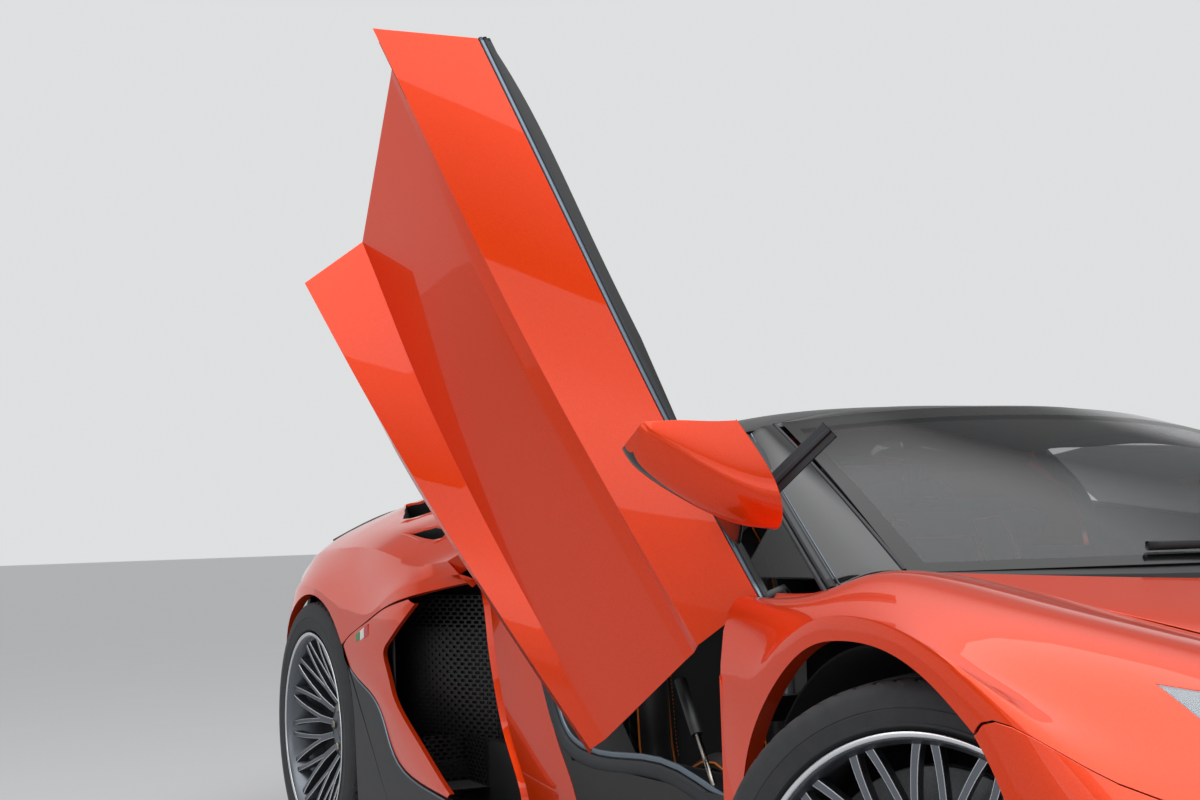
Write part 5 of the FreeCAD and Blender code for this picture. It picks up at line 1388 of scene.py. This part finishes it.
def cabin():
    """Seats, dashboard with hood, screens and vents, console, sill plates, door struts and seals."""
    for side in (1, -1):
        seat(side)
        opening = along(sided(APERTURE, side), 6)
        sweep("aperture_seal_" + SIDE[side], opening, oval(34, 38, 20, 2.4), seal, "body", (side, 0, 0.02))
        sweep("aperture_trim_" + SIDE[side], opening[:60], oval(12, 5, 12, 4), trim_grey_and_edge_highlight, "body",
              (side, 0, 0.02), at=(24, 8))
        strut = sided(DOOR_STRUT, side)
        sweep("door_strut_" + SIDE[side], strut[:2], oval(24, 24, 20), plastic, "body", (1, 0, 0))
        sweep("door_strut_rod_" + SIDE[side], strut[1:], oval(11, 11, 16), steel, "body", (1, 0, 0))
        tread = surface([[(716, y, 401.5), (770, y, 403), (834, y, 401.5)] for y in (-760, -420, -80)], 4, 4)
        skin("sill_plate_" + SIDE[side], sided(tread, side), laminate, "body", (0, 0, 1), 1.2, 0.6)
    # the dashboard's line is carried across, bowed rearwards and upwards in the middle
    y, z = np.array(DASH_LINE, float).T
    table = []
    for x in np.linspace(-DASH_HALF, DASH_HALF, 9):
        bow = 1 - (x / DASH_HALF) ** 2
        table.append(np.column_stack([np.full(len(y), x), y + 14 * bow * (y > -850), z + 10 * bow]))
    top = surface(table, 4, 4)
    skin("dash_pad", top, leather, "body", (0, .5, .8), 14, 3)
    for k, column in enumerate((9, 22)):
        seam = raised(top, 1.0, (0, .5, .8))[2:-2, column]
        stitches("dash_stitch_%d" % k, seam, 8, 1.8, orange_leather, "body")
    # instrument hood and screen ahead of the driver, who sits on the right
    arc = np.radians(np.linspace(0, 180, 21))
    hood = []
    for k in range(4):
        across, up = (150 + 8 * k) * np.cos(arc), (70 - 12 * k) * np.sin(arc) ** .7
        hood.append(np.column_stack([-370 + across, np.full(21, -640 - 55 * k), 700 + up]))
    skin("instrument_hood", surface(hood, 3, 1), leather, "body", (0, 0, 1), 7, 3)
    panel = [[(-490, -668, 690), (-250, -668, 690)], [(-486, -694, 752), (-254, -694, 752)]]
    skin("instrument_screen", surface(panel, 3, 4), frit_and_gap_shade, "body", (0, 1, .3), 5, 2)
    centre = [[(-98, -600, 655), (98, -600, 655)], [(-90, -528, 520), (90, -528, 520)],
              [(-84, -420, 404), (84, -420, 404)]]
    skin("console_panel", surface(centre, 5, 5), laminate, "body", (0, .7, .7), 8, 3)
    screen = [[(-76, -590, 640), (76, -590, 640)], [(-76, -548, 562), (76, -548, 562)]]
    skin("console_screen", surface(screen, 3, 3) + (0, 5, 4), frit_and_gap_shade, "body", (0, .8, .5), 5, 2)
    for k in range(6):
        put = tipped((-66 + 26.4 * k, -512, 508), (0, .74, .67), (0, .67, -.74))
        ring("console_key_%d" % k, KEY_PROFILE, 24, put, trim_dark, "body")
    turn = np.radians(np.arange(6) * 60)
    for k, x in enumerate(VENT_X):
        rings = []
        for y, r in VENT_RINGS:
            rings.append(np.column_stack([x + r * 1.3 * np.cos(turn), np.full(6, y),
                                          VENT_Z + r * .8 * np.sin(turn)]))
        faces = quads(len(VENT_RINGS), 6, close_columns=True)
        thicken(make("air_vent_%d" % k, rings, faces, plastic, "body", smooth=False), 2, 0.8)
        for n in range(4):
            z = VENT_Z - 22 + 14 * n
            half = 44 - abs(z - VENT_Z) * .5
            fin = [[(x - half, y, z - fall), (x + half, y, z - fall)] for y,
                   fall in ((VENT_Y, 0), (VENT_Y - 20, 5))]
            skin("air_vent_%d_fin_%d" % (k, n), surface(fin, 2, 2), plastic, "body", (0, 0, 1), 2, 0.6)
    y, share = np.meshgrid(np.linspace(-180, 170, 9), np.linspace(0, 1, 9), indexing="ij")
    arm = np.stack([-70 + 140 * share, y, 378 + 26 * (1 - (2 * share - 1) ** 4)], axis=-1)
    cushion("console_pad", arm, 34, leather, "body", (0, 0, 1))
    lever = along([(0, -330, 402), (0, -338, 440), (0, -345, 470)], 4)
    sweep("drive_lever", lever, oval(34, 48, 20, 3), trim_dark, "body", (0, 1, 0),
          np.linspace(1, .8, len(lever)))


cabin()


# Wheels. Local frame: +x outwards, angles from straight up towards the tail.
TREAD_PITCHES, SLOT_DEPTH, SLOT_LEAN = 64, 4.5, 0.0012
JUNCTIONS = 15
SPIN_OFFSET = -2.8
HUB_FACE = 74
SPOKE_LEG = [
    # share of the radius, angle from the junction, half width, depth
    (1.00, 2.8, 7.4, 30), (0.86, 4.8, 6.6, 28), (0.70, 7.0, 6.2, 27),
    (0.56, 9.2, 6.2, 27), (0.50, 10.3, 6.6, 28), (0.30, 12.0, 9.0, 30),
]
HUB = [
    (74, 84), (79, 80), (80, 62), (76, 54), (76, 40), (60, 36),
    (60, 30), (78, 30), (82, 24), (83, 0.01), (44, 0.01), (44, 84),
]
BOLTS, BOLT_CIRCLE = 5, 57
BOLT = [(70, 12), (84, 12), (87, 10)]
DISC = [
    (0, 196), (1, 198), (11, 198), (11, 150), (12, 90), (18, 90), (19, 150),
    (19, 198), (29, 198), (30, 196), (30, 84), (44, 80), (44, 40), (0, 40),
]
WHEELS = [
    # name, side, axle y, track, tyre radius, tyre width, rim radius, spoke face x, steering at rest
    ("front_left", 1, FRONT_AXLE_Y, 1720, 330, 255, 254, 112, STEER_REST),
    ("front_right", -1, FRONT_AXLE_Y, 1720, 330, 255, 254, 112, STEER_REST),
    ("rear_left", 1, REAR_AXLE_Y, 1690, 355, 330, 267, 150, 0),
    ("rear_right", -1, REAR_AXLE_Y, 1690, 355, 330, 267, 150, 0),
]


def wheel_place(side, hub_x, axle_y, hub_z, steer):
    """A function that puts local wheel points in the car, steered about its kingpin."""
    def put(points):
        points = np.asarray(points, float) * (side, 1, 1) + (side * hub_x, axle_y, hub_z)
        return turned(points, np.array([side * KINGPIN_X, axle_y, hub_z]), (0, 0, 1),
                      steer) if steer else points
    return put


def tyre(name, put, radius, width, rim, body):
    """A tyre with a rounded section, grooves round it, slots across its shoulders and rings on its side
    walls."""
    half = width / 2
    bead = rim + 1
    wall = radius - bead
    side_wall = [
        (0.43 * width, bead - 4), (0.455 * width, bead + 2), (half - 6, bead + 8), (half - 2, bead + 10),
        (half - 1.2, bead + 14), (half - 2.4, bead + 15), (half - .4, bead + 0.45 * wall),
        (half - 1.6, bead + 0.47 * wall), (half - .6, bead + 0.49 * wall), (half - 3, radius - 20),
        (half - 7, radius - 12), (half - 13, radius - 5.5),
    ]
    shoulder = [(half - 20, radius - 2.5), (half - 30, radius - 1.2), (0.29 * width + 9, radius - .7)]
    tread = []
    for x in (0.27 * width, 0.1 * width):
        tread += [(x + 6, radius - .6), (x + 5.4, radius - 7), (x - 5.4, radius - 7), (x - 6, radius - .3)]
    tread += [(0.03 * width, radius)]
    outer = side_wall + shoulder + tread
    profile = outer + [(-x, r) for x, r in reversed(outer)]
    profile += [(-0.40 * width, bead - 6), (0.40 * width, bead - 6)]
    x, r = np.array(profile).T
    # slots across the tread's edges: within each pitch the tread is high, then low, and leans outwards
    turn = ((np.arange(TREAD_PITCHES)[:, None] + [0, .42, .47, .62, .67]) / TREAD_PITCHES * 2
            * math.pi).reshape(-1)
    deep = np.tile([0, 0, 1, 1, 0], TREAD_PITCHES)[:, None]
    number = np.arange(len(x))
    beyond = abs(x) - .29 * width
    slotted = (number >= len(side_wall)) & (number < len(outer) * 2 - len(side_wall)) & (beyond > 0)
    r = r - SLOT_DEPTH * deep * slotted
    lean = turn[:, None] + np.sign(x) * slotted * beyond * SLOT_LEAN
    grid = np.stack(np.broadcast_arrays(x, r * np.sin(lean), r * np.cos(lean)), -1)
    obj = make(name, put(grid), quads(len(turn), len(x), True, True), rubber, body)
    outward_volume(obj)
    obj.data.set_sharp_from_angle(angle=math.radians(35))
    return obj


def polar(x, radius, degrees):
    """A local wheel point at an angle from straight up."""
    a = np.radians(np.asarray(degrees, float))
    return np.stack(np.broadcast_arrays(x, radius * np.sin(a), radius * np.cos(a)), -1)


def spokes(name, put, rim, face_x, body):
    """Thirty spoke legs that leave the rim in pairs and meet their neighbours half way to the hub."""
    values = spline(np.linspace(0, 1, len(SPOKE_LEG)), np.array(SPOKE_LEG), np.linspace(0, 1, 15))
    share, apart, half, depth = values.T
    inwards = (1 - share) / (1 - SPOKE_LEG[-1][0])
    rim_face = face_x - 4
    x = rim_face - (rim_face - HUB_FACE) * inwards ** 1.15
    faces = quads(len(share), 4, close_columns=True).tolist()
    faces += [[3, 2, 1, 0], [(len(share) - 1) * 4 + j for j in range(4)]]
    half = half[:, None]
    back = depth[:, None] * np.array([[1.0, 0, 0]])
    legs = []
    for k in range(JUNCTIONS):
        for sign in (1, -1):
            angle = SPIN_OFFSET + k * 360 / JUNCTIONS + sign * apart
            centre = polar(x, share * (rim - 8), angle)
            a = np.radians(angle)
            aside = np.stack([np.zeros_like(a), np.cos(a), -np.sin(a)], -1)
            section = np.stack([centre - aside * half, centre + aside * half,
                                centre + aside * (half - 1.0) - back, centre - aside * (half - 1.0) - back],
                                axis=1)
            legs.append((put(section), faces))
    # the legs' rounded edges take the bright alloy: a painted highlight
    round_edges(joined(name, legs, [rim_dark, rim_edge_highlight], body, smooth=False), 1.7, 40, 2, 1)


def bolts(name, put, body):
    """Wheel bolts on their circle, each a hexagon with a chamfered head."""
    flat = np.radians(np.arange(6) * 60)
    parts = []
    for k in range(BOLTS):
        centre = polar(0, BOLT_CIRCLE, k * 360 / BOLTS + 10)
        rings = [centre + np.stack([np.full(6, x), r * np.sin(flat), r * np.cos(flat)], -1) for x, r in BOLT]
        parts.append((put(rings),
                      quads(len(BOLT), 6, close_columns=True).tolist() + [[12 + j for j in range(6)]]))
    joined(name, parts, steel, body, smooth=False)


for name, side, axle_y, track, radius, width, rim, face_x, steer in WHEELS:
    put = wheel_place(side, track / 2, axle_y, radius, steer)
    body = "wheel_" + name
    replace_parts(tyre("tyre_%s_rubber" % name, put, radius, width, rim, body), "tyre_" + name)
    half = width / 2 - 8
    barrel = [
        (half, rim - 2), (half + 3, rim + 3), (half + 5, rim + 3), (half + 6, rim), (half + 4, rim - 7),
        (half - 4, rim - 10), (half - 12, rim - 16), (30, rim - 18), (-half + 14, rim - 18),
        (-half - 2, rim - 4), (-half - 4, rim + 2), (-half, rim - 1),
    ]
    ring("rim_%s_barrel" % name, barrel, 144, put, rim_dark, body, True)
    spokes("rim_%s_spokes" % name, put, rim, face_x, body)
    # the lip in bright alloy: a painted highlight round the rim
    lip = [(half + 3.2, rim + 3.6), (half + 6.4, rim + 3.2), (half + 7, rim), (half + 5, rim - 7),
           (half + 3, rim - 6)]
    ring("rim_%s_lip" % name, lip, 144, put, rim_edge_highlight, body, True)
    ring("rim_%s_hub" % name, HUB, 96, put, rim_dark, body, True)
    bolts("rim_%s_bolts" % name, put, body)
    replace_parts(ring("disc_%s" % name, DISC, 96, put, disc_grey, body, True), "rim_" + name)


# CAD pieces that stay in view: material, and rounding in mm
KEPT = {
    "grilles": (net_black, 1), "monocoque": (plastic, 3), "chassis_rails": (dark_metal, 3),
    "front_well": (felt_and_shade, 2),
    "arch_liners": (felt_and_shade, 0), "side_skirts": (laminate, 3), "underfloor": (laminate, 1),
    "engine_block": (dark_metal, 6), "exhaust": (steel, 2), "seats": (leather, 8), "dashboard": (leather, 8),
    "steering_wheel": (leather, 2), "fixed_windows": (side_glass, 1), "front_suspension": (dark_metal, 2),
    "rear_suspension": (dark_metal, 2), "door_window_left": (side_glass, 1), "knuckle_left": (dark_metal, 2),
    "knuckle_right": (dark_metal, 2),
}
for name, (mat, edge) in KEPT.items():
    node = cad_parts[name]
    node.data.materials.clear()
    node.data.materials.append(mat)
    weld = node.modifiers.new("weld", "WELD")
    weld.merge_threshold = 1e-5
    if edge:
        round_edges(node, edge, 25, 3)

# Floor, light and camera
world = bpy.data.worlds.new("studio")
bpy.context.scene.world = world
world.use_nodes = True
tree = world.node_tree
tree.nodes.clear()
rays = add(tree, "ShaderNodeLightPath")
seen = add(tree, "ShaderNodeMath", {"operation": "MAXIMUM"}, _0=rays.outputs["Is Camera Ray"],
           _1=rays.outputs["Is Transmission Ray"])
seen = add(tree, "ShaderNodeMath", {"operation": "MAXIMUM"}, _0=seen.outputs[0],
           _1=rays.outputs["Is Glossy Ray"])
place = add(tree, "ShaderNodeTexCoord").outputs["Generated"]
height = add(tree, "ShaderNodeSeparateXYZ", Vector=place).outputs["Z"]
sky = add(tree, "ShaderNodeMapRange", Value=height, From_Min=-0.1, From_Max=0.9, To_Min=0.22, To_Max=0.72)
# the studio as it is seen and mirrored: pale walls, a dark ceiling and a bright box straight above
walls = add(tree, "ShaderNodeValToRGB", Fac=height)
stops = [(0, .35), (.28, .35), (.37, .10), (.50, .08), (.62, .42), (.78, .62)]
for at, value in stops[1:-1]:
    walls.color_ramp.elements.new(at).color = (value, value, value, 1)
for k in (0, -1):
    walls.color_ramp.elements[k].position, walls.color_ramp.elements[k].color = stops[k][0], (*[stops[k][1]]
            * 3, 1)
backdrop = add(tree, "ShaderNodeMath", {"operation": "MULTIPLY"}, _0=walls.outputs["Color"], _1=2.2)
level = add(tree, "ShaderNodeMix", {"data_type": "FLOAT"}, Factor=seen.outputs[0], _2=sky.outputs[0],
            _3=backdrop.outputs[0])
shade = add(tree, "ShaderNodeBackground", Color=linear("#FAFBFC"), Strength=level.outputs[0])
out = add(tree, "ShaderNodeOutputWorld", Surface=shade.outputs[0])

floor_mat, tree, shader = material("studio_floor_paint", "#CCCED0", 0.5)
mottle(tree, shader, "Roughness", 400, 0.42, 0.5)
floor_points = [(-90000, -90000, 0), (90000, -90000, 0), (90000, 90000, 0), (-90000, 90000, 0)]
mesh = bpy.data.meshes.new("studio_floor")
mesh.from_pydata((np.array(floor_points) * MM).tolist(), [], [(0, 1, 2, 3)])
mesh.materials.append(floor_mat)
floor = bpy.data.objects.new("studio_floor", mesh)
bpy.context.scene.collection.objects.link(floor)


def area_light(name, at, target, size, power):
    """A soft box that looks at a target, in metres and watts."""
    light = bpy.data.lights.new(name, "AREA")
    light.shape, light.size, light.size_y, light.energy = "RECTANGLE", size[0], size[1], power
    obj = bpy.data.objects.new(name, light)
    toward = np.array(target, float) - at
    back = -toward / np.linalg.norm(toward)
    aside = np.cross((0, 0, 1) if abs(back[2]) < 0.99 else (0, 1, 0), back)
    aside /= np.linalg.norm(aside)
    matrix = np.eye(4)
    matrix[:3, :3] = np.stack([aside, np.cross(back, aside), back], axis=1)
    matrix[:3, 3] = at
    obj.matrix_world = Matrix(matrix.tolist())
    bpy.context.scene.collection.objects.link(obj)


area_light("overhead_box", (-1.0, -1.0, 5.5), (0, 0, 0.5), (6, 7), 190)
area_light("side_box", (-6.5, -3.0, 3.0), (0, 0, 0.6), (5, 3), 60)
area_light("front_box", (2.5, -7.5, 3.5), (0, -0.8, 0.6), (5, 3), 50)

# Camera of the photo, worked out from measured points
CAMERA_AT = (-2.467, -3.606, 0.886)
YAW, PITCH, ROLL, FOCAL_PX = math.radians(25.55), math.radians(4.0), math.radians(-1.84), 1836.0
forward = np.array([math.sin(YAW) * math.cos(PITCH), math.cos(YAW) * math.cos(PITCH), math.sin(PITCH)])
aside = np.array([math.cos(YAW), -math.sin(YAW), 0])
over = np.cross(aside, forward)
right = aside * math.cos(ROLL) + over * math.sin(ROLL)
up = -aside * math.sin(ROLL) + over * math.cos(ROLL)
matrix = np.eye(4)
matrix[:3, :3] = np.stack([right, up, -forward], axis=1)
matrix[:3, 3] = CAMERA_AT
lens_data = bpy.data.cameras.new("photo_camera")
lens_data.sensor_width, lens_data.lens = 36.0, 36.0 * FOCAL_PX / 1200
camera = bpy.data.objects.new("photo_camera", lens_data)
camera.matrix_world = Matrix(matrix.tolist())
bpy.context.scene.collection.objects.link(camera)
bpy.context.scene.camera = camera
bpy.context.scene.view_settings.view_transform = "Standard"
